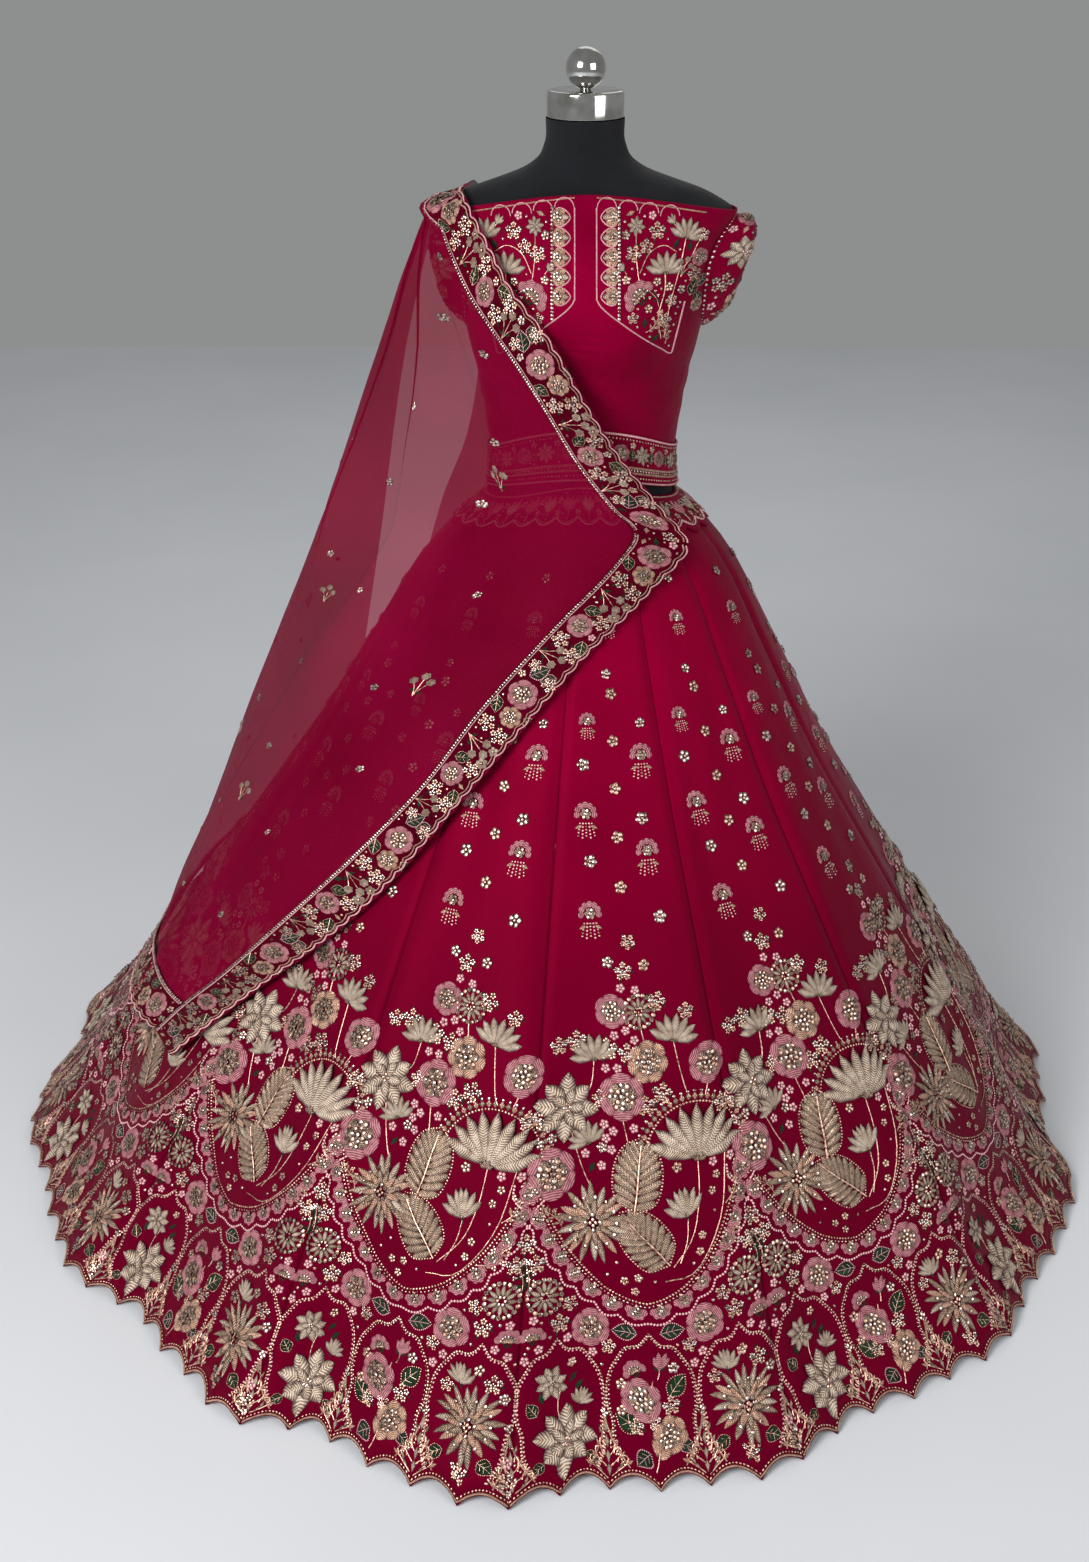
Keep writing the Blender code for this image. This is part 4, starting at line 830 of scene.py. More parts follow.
# a design is read by spots(). Here x is in thousandths of the kali's width from its left seam, y in mm above the hem
kaliDesign = {
    "cartoucheHalfWidth": 0.0555, "cartoucheTop": 0.168, "cartoucheFoot": 0.014,
    "festoonTip": 0.362, "festoonLow": 0.205, "festoonPower": 1.9, "lobes": 16,
    "inFestoon": {
        "bigLotus": (790, 368, 104, 2), "starLotus": (150, 437, 128, 0),
        "rosePink": ((90, 362, 122, 0), (440, 448, 115, 0), (400, 552, 84, 0), (920, 478, 102, 0)),
        "dahlia": (285, 300, 126, 0), "broadLeaf": ((470, 312, 96, 10), (600, 250, 90, -42)), "lotusBud": (705, 300, 78, -14),
        "roseGold": (590, 488, 105, 0), "medallion": (560, 550, 106, 0),
        "lotus": ((300, 492, 52, -10), (745, 510, 55, 12), (270, 392, 44, -24)),
        "bunch": ((200, 515, 95, 0), (650, 448, 95, 16), (370, 505, 100, 0), (670, 560, 90, 24), (30, 425, 90, -8),
            (330, 445, 85, 70), (560, 435, 90, 0), (480, 500, 90, 0), (480, 600, 85, 0), (520, 636, 70, 40),
            (840, 545, 75, 0), (100, 512, 80, 0), (960, 425, 80, 0)),
        "sprig": ((885, 310, 100, 34), (790, 255, 95, 56), (150, 296, 72, -34)), "flowerSequin": (385, 612, 130, 0),
        "flowerGold": (615, 606, 130, 0),
    },
    "underFestoon": {
        "medallion": ((85, 222, 110, 0), (915, 222, 110, 0)), "rosePink": ((275, 174, 96, 0), (725, 174, 96, 0)),
        "leafDark": ((455, 166, 74, -82), (545, 166, 74, 82)),
        "bunch": ((0, 284, 85, 0), (150, 186, 86, 0), (850, 186, 86, 0), (45, 262, 80, 0), (955, 262, 80, 0),
            (190, 208, 70, 40), (810, 208, 70, 80), (345, 150, 66, 20), (655, 150, 66, 10)),
        "sprigGreen": ((8, 226, 80, 8), (985, 226, 80, -8)), "halfRose": ((48, 172, 66, 0), (952, 172, 66, 0)),
    },
    # in the three cartouches, x in mm from the cartouche's middle line
    "cartouches": ({
        "starLotus": ((2, 50, 122, 0), (-10, 116, 66, 20)), "lotusBud": (22, 80, 46, 24),
        "leafGreen": ((-30, 80, 50, -30), (-26, 26, 46, -120), (26, 26, 46, 120)),
        "tinyGreen": ((-22, 92, 120, -10), (18, 100, 120, 50)),
    }, {
        "rosePink": (-14, 88, 98, 0), "roseGold": (17, 46, 90, 0), "leafGreen": ((-18, 50, 84, -52), (20, 88, 82, 40)),
        "bunch": ((-22, 56, 70, 0), (22, 78, 80, 0), (0, 66, 60, 0)), "budPink": (8, 112, 100, 14),
        "leafDark": ((26, 36, 60, 110), (-8, 32, 64, -140)), "halfRose": (-18, 118, 62, -30),
        "flowerSequin": (28, 122, 120, 0), "flowerGold": ((-38, 74, 110, 0), (-36, 104, 120, 0)),
    }, {
        "dahlia": (2, 74, 116, 0), "lotusBud": (-16, 112, 56, -12),
        "bunch": ((22, 120, 85, 0), (-34, 106, 64, 0), (2, 26, 75, 0)), "leafGreen": ((-22, 36, 60, -120), (22, 36, 60, 120)),
        "flowerSequin": (38, 106, 120, 0), "flowerGold": (2, 136, 120, 0),
    }),
    # these tie the big flowers together
    "stems": (
        ((790, 368), (770, 325), (720, 280), (620, 246)), ((150, 437), (190, 400), (240, 362), (290, 335)),
        ((705, 300), (690, 275), (650, 250)), ((745, 512), (760, 480), (780, 450), (800, 440)),
        ((440, 448), (440, 420), (460, 390), (475, 345)), ((300, 495), (280, 460), (220, 445)),
        ((920, 478), (905, 455), (880, 440)), ((560, 550), (565, 530), (585, 505)),
        ((580, 230), (720, 240), (860, 300), (930, 370)),
    ),
}
cartoucheEdge = curl([(kaliDesign["cartoucheHalfWidth"] * share, height) for share, height in (
    (0.72, kaliDesign["cartoucheFoot"]), (0.90, 0.040), (0.90, 0.066), (0.985, 0.086), (0.93, 0.116), (0.70, 0.136),
    (0.52, 0.148), (0.24, 0.152), (0, kaliDesign["cartoucheTop"]))], 34)


def kaliHalfWidth(up):
    return panelAngle / 2 * meanRadius(up)


def kaliX(share, up):
    return (share - 0.5) * 2 * kaliHalfWidth(up)


def festoonUp(share):
    d = kaliDesign
    return d["festoonLow"] + (d["festoonTip"] - d["festoonLow"]) * np.abs(2 * share - 1) ** d["festoonPower"]


def inCartouche(x, y, ease=0.0):
    half = np.interp(y, cartoucheEdge[:, 1], cartoucheEdge[:, 0]) + ease
    return y < kaliDesign["cartoucheTop"] + ease and min(abs(x - kaliX((k + 0.5) / 3, 0.08)) for k in range(3)) < half


def onKali(x, y):
    return abs(x) < kaliHalfWidth(y) - 0.004


def underFestoon(x, y):
    wide = 2 * kaliHalfWidth(y)
    share = np.clip(x / wide + 0.5, 0.01, 0.99)
    slope = (festoonUp(share + 0.01) - festoonUp(share - 0.01)) / (0.02 * wide)
    return onKali(x, y) and 0.010 < y < festoonUp(share) - 0.034 * math.hypot(1, slope) and not inCartouche(x, y, 0.004)


def overFestoon(x, y):
    share = x / (2 * kaliHalfWidth(y)) + 0.5
    top = 0.415 + 0.185 * math.exp(-(((share - 0.49) / 0.17) ** 2)) + 0.05 * math.exp(-(((share - 0.15) / 0.08) ** 2))
    return onKali(x, y) and festoonUp(np.clip(share, 0, 1)) + 0.006 < y < top


def drawKali():
    d = kaliDesign
    lay = Layout((-0.19, 0.0), (0.19, 0.66))
    edge = np.linspace(0.004, 0.996, 73)
    # a fine cord and beads follow the pointed edge
    for draw, slot, up, *shape in ((cord, roseGold, 0.0022, 0.0026, 0.0018), (beadLine, bead, 0.0062, 0.0015, 0.0042)):
        draw(lay, slot, np.stack([kaliX(edge, up), np.full(len(edge), up)], -1), *shape)
    # cartouches: an ogee arch of beads and sequins, with a filigree point to its left
    for number, inside in enumerate(d["cartouches"]):
        middle = kaliX((number + 0.5) / 3, 0.08)
        for side in (-1, 1):
            beadLine(lay, bead, cartoucheEdge * (side, 1) + (middle, 0), 0.0018, 0.0038)
            inner = cartoucheEdge * (0.95, 0.985) * (side, 1) + (middle, 0)
            beadLine(lay, (cordPink, sequin)[number % 2], inner, 0.0013, 0.0052)
        stem = [(middle + x, y) for x, y in ((-0.003, 0.016), (0.004, 0.045), (-0.004, 0.085), (0.002, 0.112))]
        cord(lay, bead, curl(stem, 10), 0.0013, 0.0010)
        for key, x, y, size, turn in spots(inside):
            lay.put(key, middle + x, y, size, turn)
        lay.put("filigree", kaliX(number / 3, 0.03) + (0 if number else 0.001), 0.008, 1.12)
    # the festoon: a beaded arc, a row of shells of pile and a pearl scallop
    shares = np.linspace(0.004, 0.996, 120)
    up = festoonUp(shares)
    line = np.stack([kaliX(shares, up), up], -1)
    run, along = rowRun(line), unit(np.gradient(line, axis=0))
    down = np.stack([along[:, 1], -along[:, 0]], -1)
    beadLine(lay, bead, line, 0.0017, 0.0042)
    beadLine(lay, sequin, line + down * 0.0042, 0.0014, 0.0052, 0.2)
    pitch = run[-1] / d["lobes"]
    for k in np.searchsorted(run, (np.arange(d["lobes"]) + 0.5) * pitch):
        lay.put("lobe", *(line[k] + down[k] * 0.0090), pitch / 0.0250, math.degrees(math.atan2(*down[k])) - 180)
    waves = np.abs(np.sin(pi * d["lobes"] * run / run[-1]))
    beadLine(lay, cordPink, line + down * (0.0232 + 0.0062 * waves)[:, None], 0.0018, 0.0040)
    for stem in d["stems"]:
        cord(lay, bead, curl([(kaliX(s / 1000, y / 1000), y / 1000) for s, y in stem], 12), 0.0014, 0.0010)
    for part in ("inFestoon", "underFestoon"):
        for key, share, y, size, turn in spots(d[part]):
            lay.put(key, kaliX(share, y), y, size, turn)

    between, over = ((-0.185, 0.012), (0.185, 0.345)), ((-0.185, 0.20), (0.185, 0.65))
    small = (
        ("flowerGold", 0.0054, 1.12), ("flowerSequin", 0.0054, 1.12), ("flowerPink", 0.0048, 1.0), ("tinyGreen", 0.0054, 1.15))
    lay.fill(underFestoon, between, 0.0060, (("bunch", 0.0100, 0.80), ("bunch", 0.0108, 0.88)), 5)
    lay.fill(underFestoon, between, 0.0056, small, 15)
    lay.fill(underFestoon, between, 0.0070, (("dot", 0.0026, 0.0024),), 25)
    lay.fill(lambda x, y: onKali(x, y) and inCartouche(x, y, -0.007), ((-0.185, 0.02), (0.185, 0.165)), 0.014, (
        ("flowerGold", 0.0064, 1.00), ("flowerSequin", 0.0064, 1.00), ("tinyGreen", 0.0070, 1.10)), 6)
    lay.fill(lambda x, y: y > 0.40 and overFestoon(x, y), over, 0.0066, (("bunch", 0.0108, 0.88),), 7)
    lay.fill(lambda x, y: y > 0.36 and overFestoon(x, y), over, 0.0074, small, 17)
    lay.fill(overFestoon, over, 0.0160, (("flowerGold", 0.0066, 0.9), ("dot", 0.0050, 0.0022)), 27)
    # field: hooded flowers and small sequin flowers in staggered rows, one to a row near the waist
    for row in range(8):
        y = 0.672 + 0.062 * row
        odd = row % 2 == 1
        for share, large in ((0.25, not odd), (0.75, odd)) if y < 0.98 else ((0.5, not odd),):
            x = kaliX(share, y) + 0.006 * math.sin(5 * row + 9 * share)
            here = y + 0.010 * math.sin(3.1 * row + 14 * share)
            if large:
                lay.put("hoodFlower", x, here - 0.018, 1.20 if y < 0.9 else 0.9)
            else:
                lay.put("flowerSequin", x, here, 1.5 if y < 0.9 else 1.2, 15 * row)
        if y < 0.95:
            lay.put("flowerGold", kaliX(0.5, y + 0.031), y + 0.031, 1.4, 40 * row)
    return lay


def makeSkirt():
    steps = 48
    shares = np.concatenate([np.linspace(0, 0.80, 24)[:-1], np.linspace(0.80, 1.0, 13)])[:, None]
    lay = drawKali()
    for number in range(skirt["panels"]):
        start = skirt["firstSeam"] + number * panelAngle
        middle = start + panelAngle / 2
        gap = 0.00015 / skirtBase(np.full_like(shares, middle), shares)[1]
        beyond = panelAngle / steps  # a column past each seam, so that the normals at the seam are right
        inner = [start + panelAngle * k / steps + 0 * shares for k in range(1, steps)]
        first, last = start + gap, start + panelAngle - gap
        angles = np.concatenate([first - beyond, first] + inner + [last, last + beyond], 1)
        grid = skirtPoint(angles, shares + 0 * angles)
        normals = gridNormals(grid)[:, 1:-1]
        cloth = clothShell(f"kaliSilk{number + 1:02d}", grid[:, 1:-1], normals, -skirt["thickness"], 0.0, artSilk)
        attach(cloth, f"kali_{number + 1:02d}")
        sewn = sew(f"kaliEmbroidery{number + 1:02d}", lay,
                   lambda x, up: skirtPoint(middle + x / meanRadius(up), 1 - up / skirt["slant"]))
    print("skirt made, its kali has", len(lay.joined()[2]), "triangles of stitches")


yoke = {"depth": 0.044, "scallop": 0.008, "perPanel": 2, "lift": 0.0009, "thickness": 0.0012, "circle": 0.14}


def makeYoke():
    d = yoke
    scallops = skirt["panels"] * d["perPanel"]
    columns = np.arange(scallops * 10)
    angles = skirt["firstSeam"] + columns * 2 * pi / len(columns)
    depth = d["depth"] - d["scallop"] * (1 - np.abs(np.sin(pi * columns / 10)))
    down = np.linspace(0, 1, 12)[:, None]
    grid = skirtPoint(angles[None, :] + 0 * down, down * depth[None, :])
    normals = gridNormals(grid, closed=True)
    top = d["lift"] + d["thickness"]
    cloth = clothShell("yokeSilk", grid, normals, d["lift"], top, artSilkBlouse, closed=True)
    attach(cloth, "skirt_yoke")
    # drawn in metres along a circle, from the waist downwards
    around = 2 * pi * d["circle"]
    width = around / scallops
    lay = Layout((0, -0.06), (around, 0.0))
    edge = np.linspace(0, 1, 11)
    for i in range(scallops):
        x = (i + 0.5) * width
        lay.put("budPink" if i % 2 else "bud", x, -0.045, 1.05)
        lay.put("flowerSequin", x - width / 2, -0.018, 0.9)
        lay.put("flowerGold", x - width / 2, -0.034, 0.75)
        line = np.stack([x + (edge - 0.5) * width, -(0.0505 - 0.0095 * (1 - np.sin(pi * edge)))], -1)
        cord(lay, cordPink, line, 0.0020, 0.0018)
        beadLine(lay, bead, line + (0, 0.0034), 0.0012, 0.0032)
    cord(lay, roseGold, np.stack([np.linspace(0, around, 240), np.full(240, -0.004)], -1), 0.0024, 0.0018)
    lay.fill(lambda x, y: True, ((0, -0.040), (around, -0.006)), 0.007, (
        ("flowerGold", 0.0040, 0.66), ("tinyGold", 0.0040, 0.66), ("tinyGreen", 0.0044, 0.7), ("dot", 0.0020, 0.0015)), 8)
    sewn = sew("yokeEmbroidery", lay, lambda x, y: skirtPoint(
        skirt["firstSeam"] + x / d["circle"], -y * 0.86 / skirt["slant"]), top + 0.0002)
    print("yoke made")


# choli

choli = {
    # in mm: height at the side, rise at the middle of the front, rise of the neck curve
    "rows": inMetres(
        (1006, 27, 0), (1034, 34, 0), (1062, 41, 0), (1100, 26, 0), (1160, 4, 0), (1205, 0, 0), (1220, 0, 0), (1240, 0, 0),
        (1270, 0, 0), (1300, 0, 2), (1330, 0, 7), (1350, 0, 16), (1361.5, 0, 25.5),
    ),
    # in mm: height, ease over the form
    "ease": inMetres(
        (1000, 6), (1060, 5.5), (1120, 3.5), (1160, 1.3), (1205, 2.6), (1240, 3.4), (1300, 4), (1400, 5),
    ),
    "underarm": 1.212, "armholeTop": 1.356, "armholeHalfDepth": 0.042, "thickness": 0.0012, "bandLift": 0.0033,
    "puckerDepth": 0.0010, "puckerPitch": 0.011, "puckerHalfWidth": 0.020,
}


def choliEase(height):
    return smoothLookup(height, choli["ease"], 1)


def choliSurface(angle, height):
    d = choli
    base = formPoint(angle, height, choliEase(height) + d["thickness"])
    x = base[..., 0]
    # the middle strip is drawn up into small puckers, and the cloth below the bust pulls into slanting folds
    pucker = d["puckerDepth"] * np.sin(2 * pi * height / d["puckerPitch"] + 1.2 * np.sin(60 * x))
    pucker = pucker * np.exp(-((x / d["puckerHalfWidth"]) ** 2)) * np.clip((height - 1.17) / 0.05, 0, 1)
    slant = 0.0009 * np.sin(2 * pi * (height * 0.9 + x * 0.7) / 0.040) * np.exp(-(((height - 1.14) / 0.045) ** 2))
    out = np.where(np.sin(angle) < 0, pucker + slant, 0.4 * slant)
    return base + np.stack([np.cos(angle), np.sin(angle), 0 * angle], -1) * out[..., None]


def makeCholi():
    d = choli
    places = np.linspace(0, len(d["rows"]) - 1, 72)
    rough, frontRise, neckRise = (np.interp(places, range(len(d["rows"])), column)[:, None] for column in d["rows"].T)
    across = np.linspace(-1, 1, 73)
    step = across[1] - across[0]
    across = np.concatenate([[-1 - step], across, [1 + step]])
    hole = (rough - (d["underarm"] + d["armholeTop"]) / 2) / ((d["armholeTop"] - d["underarm"]) / 2)
    opening = d["armholeHalfDepth"] * np.sqrt(np.clip(1 - hole**2, 0, 1))
    for name, node, middle, column in (
        ("choliFrontSilk", "choli_front", -pi / 2, 2), ("choliBackSilk", "choli_back", pi / 2, 3),
    ):
        depth = smoothLookup(rough, form, column)
        side = pi / 2 - np.arcsin(np.clip(opening / depth, 0, 0.9)) - 0.00015 / depth
        angles = middle + across[None, :] * side
        height = rough + frontRise * frontShare(angles) + neckRise * np.clip(np.cos(angles - middle), 0, 1) ** 2.2
        grid = choliSurface(angles, height)
        normals = gridNormals(grid)[:, 1:-1]
        cloth = clothShell(name, grid[:, 1:-1], normals, -d["thickness"], 0.0, artSilkBlouse)
        attach(cloth, node)
    sewn = makeCholiEmbroidery()


# as seen from the front, tables in mm: x from the middle line, then the height. One side is drawn and mirrored
yokePanel = {
    "fanX": 0.0395, "sequinX": 0.041, "fanHeights": (1.3620, 1.3405, 1.3190, 1.2975, 1.2760), "fanSize": 0.94,
    "outline": inMetres(
        (13.5, 1372), (13.5, 1285), (15, 1270), (26, 1258), (45, 1244), (70, 1226), (95, 1208), (108, 1199), (112.5, 1214),
        (118, 1238), (124, 1262),
    ),
    "motifs": {
        "lotus": ((98, 1298, 42, 4), (124, 1336, 38, 16)), "halfRose": (68, 1272, 84, -42), "rosePink": (143, 1312, 44, 0),
        "starLotus": (62, 1352, 34, 0), "bud": ((112, 1348, 55, -30), (50, 1300, 50, -40)),
        "bunch": ((88, 1346, 72, 0), (58, 1322, 70, 30), (74, 1330, 62, 80), (136, 1292, 66, 0), (98, 1244, 62, 20),
            (106, 1266, 55, 60), (146, 1338, 60, 0), (58, 1250, 50, 0)),
        "leafGreen": ((130, 1268, 50, 28), (144, 1254, 46, -20)), "leafDark": (138, 1280, 46, 70),
        "sprig": ((100, 1214, 62, -8), (74, 1232, 60, 46)), "pomSpray": (118, 1292, 66, 24),
        "sprigGreen": (90, 1262, 50, -30), "roseGold": (140, 1254, 34, 0),
    },
    "stems": (
        ((94, 1222), (90, 1250), (98, 1280), (98, 1300)), ((98, 1222), (104, 1260), (116, 1300), (124, 1336)),
        ((72, 1272), (66, 1290), (62, 1320), (62, 1350)), ((66, 1300), (78, 1322), (96, 1330), (112, 1322)),
        ((118, 1300), (130, 1312), (140, 1330), (148, 1338)),
    ),
}


def makeCholiEmbroidery():
    d = yokePanel
    lay = Layout((0, 1.12), (0.17, 1.40))
    cord(lay, cordPink, curl(d["outline"], 60), 0.0018, 0.0016)
    out = np.linspace(0.0, 0.150, 40)
    top = np.stack([np.linspace(0.0135, 0.150, 40), 1.3835 - 0.20 * out**1.25 * 1.1], -1)
    cord(lay, roseGold, top, 0.0016, 0.0014)
    for i in range(4):
        cord(lay, cordPink, arc(0.026 + 0.026 * i, 1.372 - 0.0035 * i, 0.012, -90, 90, 9), 0.0013, 0.0014)
    for z in d["fanHeights"]:
        lay.put("fan", d["fanX"], z, d["fanSize"], -90)
    beadLine(lay, sequin, [(d["sequinX"], 1.372), (d["sequinX"], 1.250)], 0.0022, 0.0044, 0.2)
    for stem in d["stems"]:
        cord(lay, bead, curl(inMetres(*stem), 20), 0.0012, 0.0010)
    for spot in spots(d["motifs"]):
        lay.put(*spot)
    edge = np.concatenate([d["outline"][3:8], inMetres((112.5, 1214), (118, 1238), (124, 1246), (134, 1240), (152, 1250))])

    def onPanel(x, z):
        return 0.044 < x < 0.152 and z <= 1.378 - 0.18 * x and z > np.interp(x, edge[:, 0], edge[:, 1]) + 0.005

    fillClosely(lay, onPanel, ((0.045, 1.14), (0.150, 1.378)), 21)
    both = Stitches()
    for flip in (False, True):
        both.place(lay, 0, 0, flip=flip)

    def surface(x, z):
        wide = smoothLookup(z, form, 1) + choliEase(z) + choli["thickness"]
        return choliSurface(-pi / 2 + np.arcsin(np.clip(x / wide, -0.985, 0.985)), z)

    return sew("choliFrontEmbroidery", both, surface)


def makeCholiBand():
    # share runs from 0 at the lower edge to 2 at the upper one
    def surface(angle, share):
        base, rise = (np.interp(share, range(3), choli["rows"][:3, k]) for k in (0, 1))
        height = base + rise * frontShare(angle)
        return formPoint(angle + 0 * height, height, choliEase(height) + choli["bandLift"])

    angles = np.arange(220)[None, :] * 2 * pi / 220 - pi
    grid = surface(angles, np.linspace(0, 2, 14)[:, None])
    normals = gridNormals(grid, closed=True)
    cloth = clothShell("choliBandSilk", grid, normals, -0.0012, 0.0, artSilkBlouse, closed=True)
    attach(cloth, "choli_hem_band")
    circle, count = 0.108, 24
    around = 2 * pi * circle
    lay = Layout((0, 0), (around, 0.06))
    for draw, slot, y, *shape in (
        (cord, cordPink, 0.0545, 0.0026, 0.0022), (cord, roseGold, 0.0185, 0.0030, 0.0020),
        (cord, roseGold, 0.0125, 0.0030, 0.0020), (cord, cordPink, 0.0020, 0.0022, 0.0020),
        (beadLine, bead, 0.0500, 0.0014, 0.0042), (beadLine, sequin, 0.0155, 0.0014, 0.0042),
        (beadLine, bead, 0.0070, 0.0014, 0.0042),
    ):
        draw(lay, slot, np.stack([np.linspace(0, around, 160), np.full(160, y)], -1), *shape)
    for i in range(count):
        x = (i + 0.5) * around / count
        lay.put("rosePink" if i % 2 else "starLotus", x, 0.034, 0.40 if i % 2 else 0.36, 20 * i)
        lay.put("leafGreen", x + around / count / 2, 0.026, 0.34)
        lay.put("flowerGold", x + around / count / 2, 0.044, 0.7)
    lay.fill(lambda x, y: True, ((0, 0.020), (around, 0.050)), 0.006, (
        ("flowerGold", 0.0036, 0.60), ("tinyGold", 0.0038, 0.6), ("dot", 0.0020, 0.0015)), 31)
    sewn = sew("choliBandEmbroidery", lay, lambda x, y: surface(x / circle - pi, np.clip(y / 0.056, -0.02, 1.02) * 2))
    print("choli band made")


# sections from armhole to cuff, in mm: out, back, height, heading in degrees, half thickness, half height, lean
sleeves = {
    "right": inMetres(
        (173.5, 0, 1284, 0, 41.2, 70.5, 20), (183, 13, 1283, 35, 31, 68, 24), (187, 34, 1277, 65, 20, 67, 27),
        (185, 58, 1270, 85, 14, 65, 28), (177, 82, 1262, 105, 12, 62, 27),
    ),
    "left": inMetres(
        (171.5, 0, 1284, 0, 41.2, 70.5, 17), (173.5, 10, 1280, 35, 27, 60, 16), (173.5, 26, 1275, 65, 16, 58, 15),
        (171, 42, 1270, 85, 10, 56, 14), (168, 56, 1264, 95, 8, 54, 13),
    ),
    "thickness": 0.0011, "sides": 64, "rows": 30, "cuffWidth": 0.016,
    # x along the sleeve from armhole to cuff, y round it (0 at the back of the arm, negative to the front and up)
    "motifs": {
        "lotus": (50, -20, 50, 70), "rosePink": ((22, 12, 66, 0), (52, 40, 60, 0)), "roseGold": (30, -52, 52, 0),
        "leafGreen": ((18, -12, 66, 60), (60, 12, 66, 120), (36, 62, 66, 30)), "bud": (60, -58, 66, 40),
        "starLotus": (20, 58, 50, 0), "medallion": (70, -5, 34, 0), "pomSpray": (12, -36, 70, 90), "sprig": (55, 75, 60, 30),
    },
}


def makeSleeve(side, sign):
    d = sleeves
    places = np.linspace(0, 4, d["rows"])
    out, back, height, heading, thick, tall, lean = (smoothLookup(places, numbered(d[side]), k)[:, None] for k in range(1, 8))
    places = places[:, None]
    turn = np.arange(d["sides"])[None, :] * 2 * pi / d["sides"]
    heading = np.radians(heading * 1000)  # inMetres has divided the degrees as well
    x = out + thick * np.cos(turn) * -np.sin(heading) + np.sin(turn) * lean
    y = back + thick * np.cos(turn) * np.cos(heading)
    z = height + np.sin(turn) * tall
    # the sleeve starts on the bodice, so its first rows follow the armhole
    deep = np.where(y < 0, smoothLookup(z, form, 2), smoothLookup(z, form, 3))
    onBody = smoothLookup(z, form, 1) * np.sqrt(np.clip(1 - (y / deep) ** 2, 0.05, 1)) + choliEase(z)
    near = np.clip(1 - places, 0, 1)
    grid = np.stack([(x * (1 - near) + onBody * near) * sign, y, z], -1)
    normals = gridNormals(grid, closed=True)
    # soft wrinkles where the empty sleeve falls in
    wrinkle = 0.0010 * np.sin(5 * turn + 1.4 * places) * np.sin(pi * places / 4) + 0.0006 * np.sin(11 * turn - 2.1 * places)
    grid = grid + normals * (wrinkle * np.clip(places, 0, 1))[..., None]
    cloth = clothShell(f"sleeve{side.title()}Silk", grid, normals, -d["thickness"], 0.0, artSilkBlouse, closed=True)
    attach(cloth, f"choli_sleeve_{side}")
    # unrolled: a is metres along the sleeve, b metres round it at its middle girth
    run = rowRun(grid.mean(1))
    girths = np.linalg.norm(np.roll(grid, -1, 1) - grid, axis=-1).sum(1)
    length, girth, middleGirth = float(run[-1]), float(girths.max()), float(np.median(girths))
    surface = gridSurface(np.concatenate([grid, grid[:, :1]], 1), run, np.linspace(0, middleGirth, d["sides"] + 1))
    lay = Layout((0, 0), (length, middleGirth))
    for draw, slot, a, count, *shape in (
        (cord, cordPink, length - 0.002, 80, 0.0020, 0.0018), (cord, cordPink, length - d["cuffWidth"], 80, 0.0020, 0.0018),
        (beadLine, bead, length - 0.008, 40, 0.0016, 0.0048), (beadLine, sequin, 0.003, 40, 0.0014, 0.0050, 0.2),
    ):
        draw(lay, slot, np.stack([np.full(count, a), np.linspace(0.001, middleGirth - 0.001, count)], -1), *shape)
    scale = length / 0.085
    for key, a, b, size, angle in spots(d["motifs"]):
        if a * scale < length - 0.018:
            for share in (0.25, 0.75):
                lay.put(key, a * scale, middleGirth * share + b, size * min(scale, 1), angle)
    fillClosely(lay, lambda a, b: 0.004 < a < length - 0.016, ((0.004, 0.004), (length, middleGirth - 0.004)), 41)
    sewn = sew(f"sleeve{side.title()}Embroidery", lay, surface, middle=grid.mean((0, 1)))


# shawl

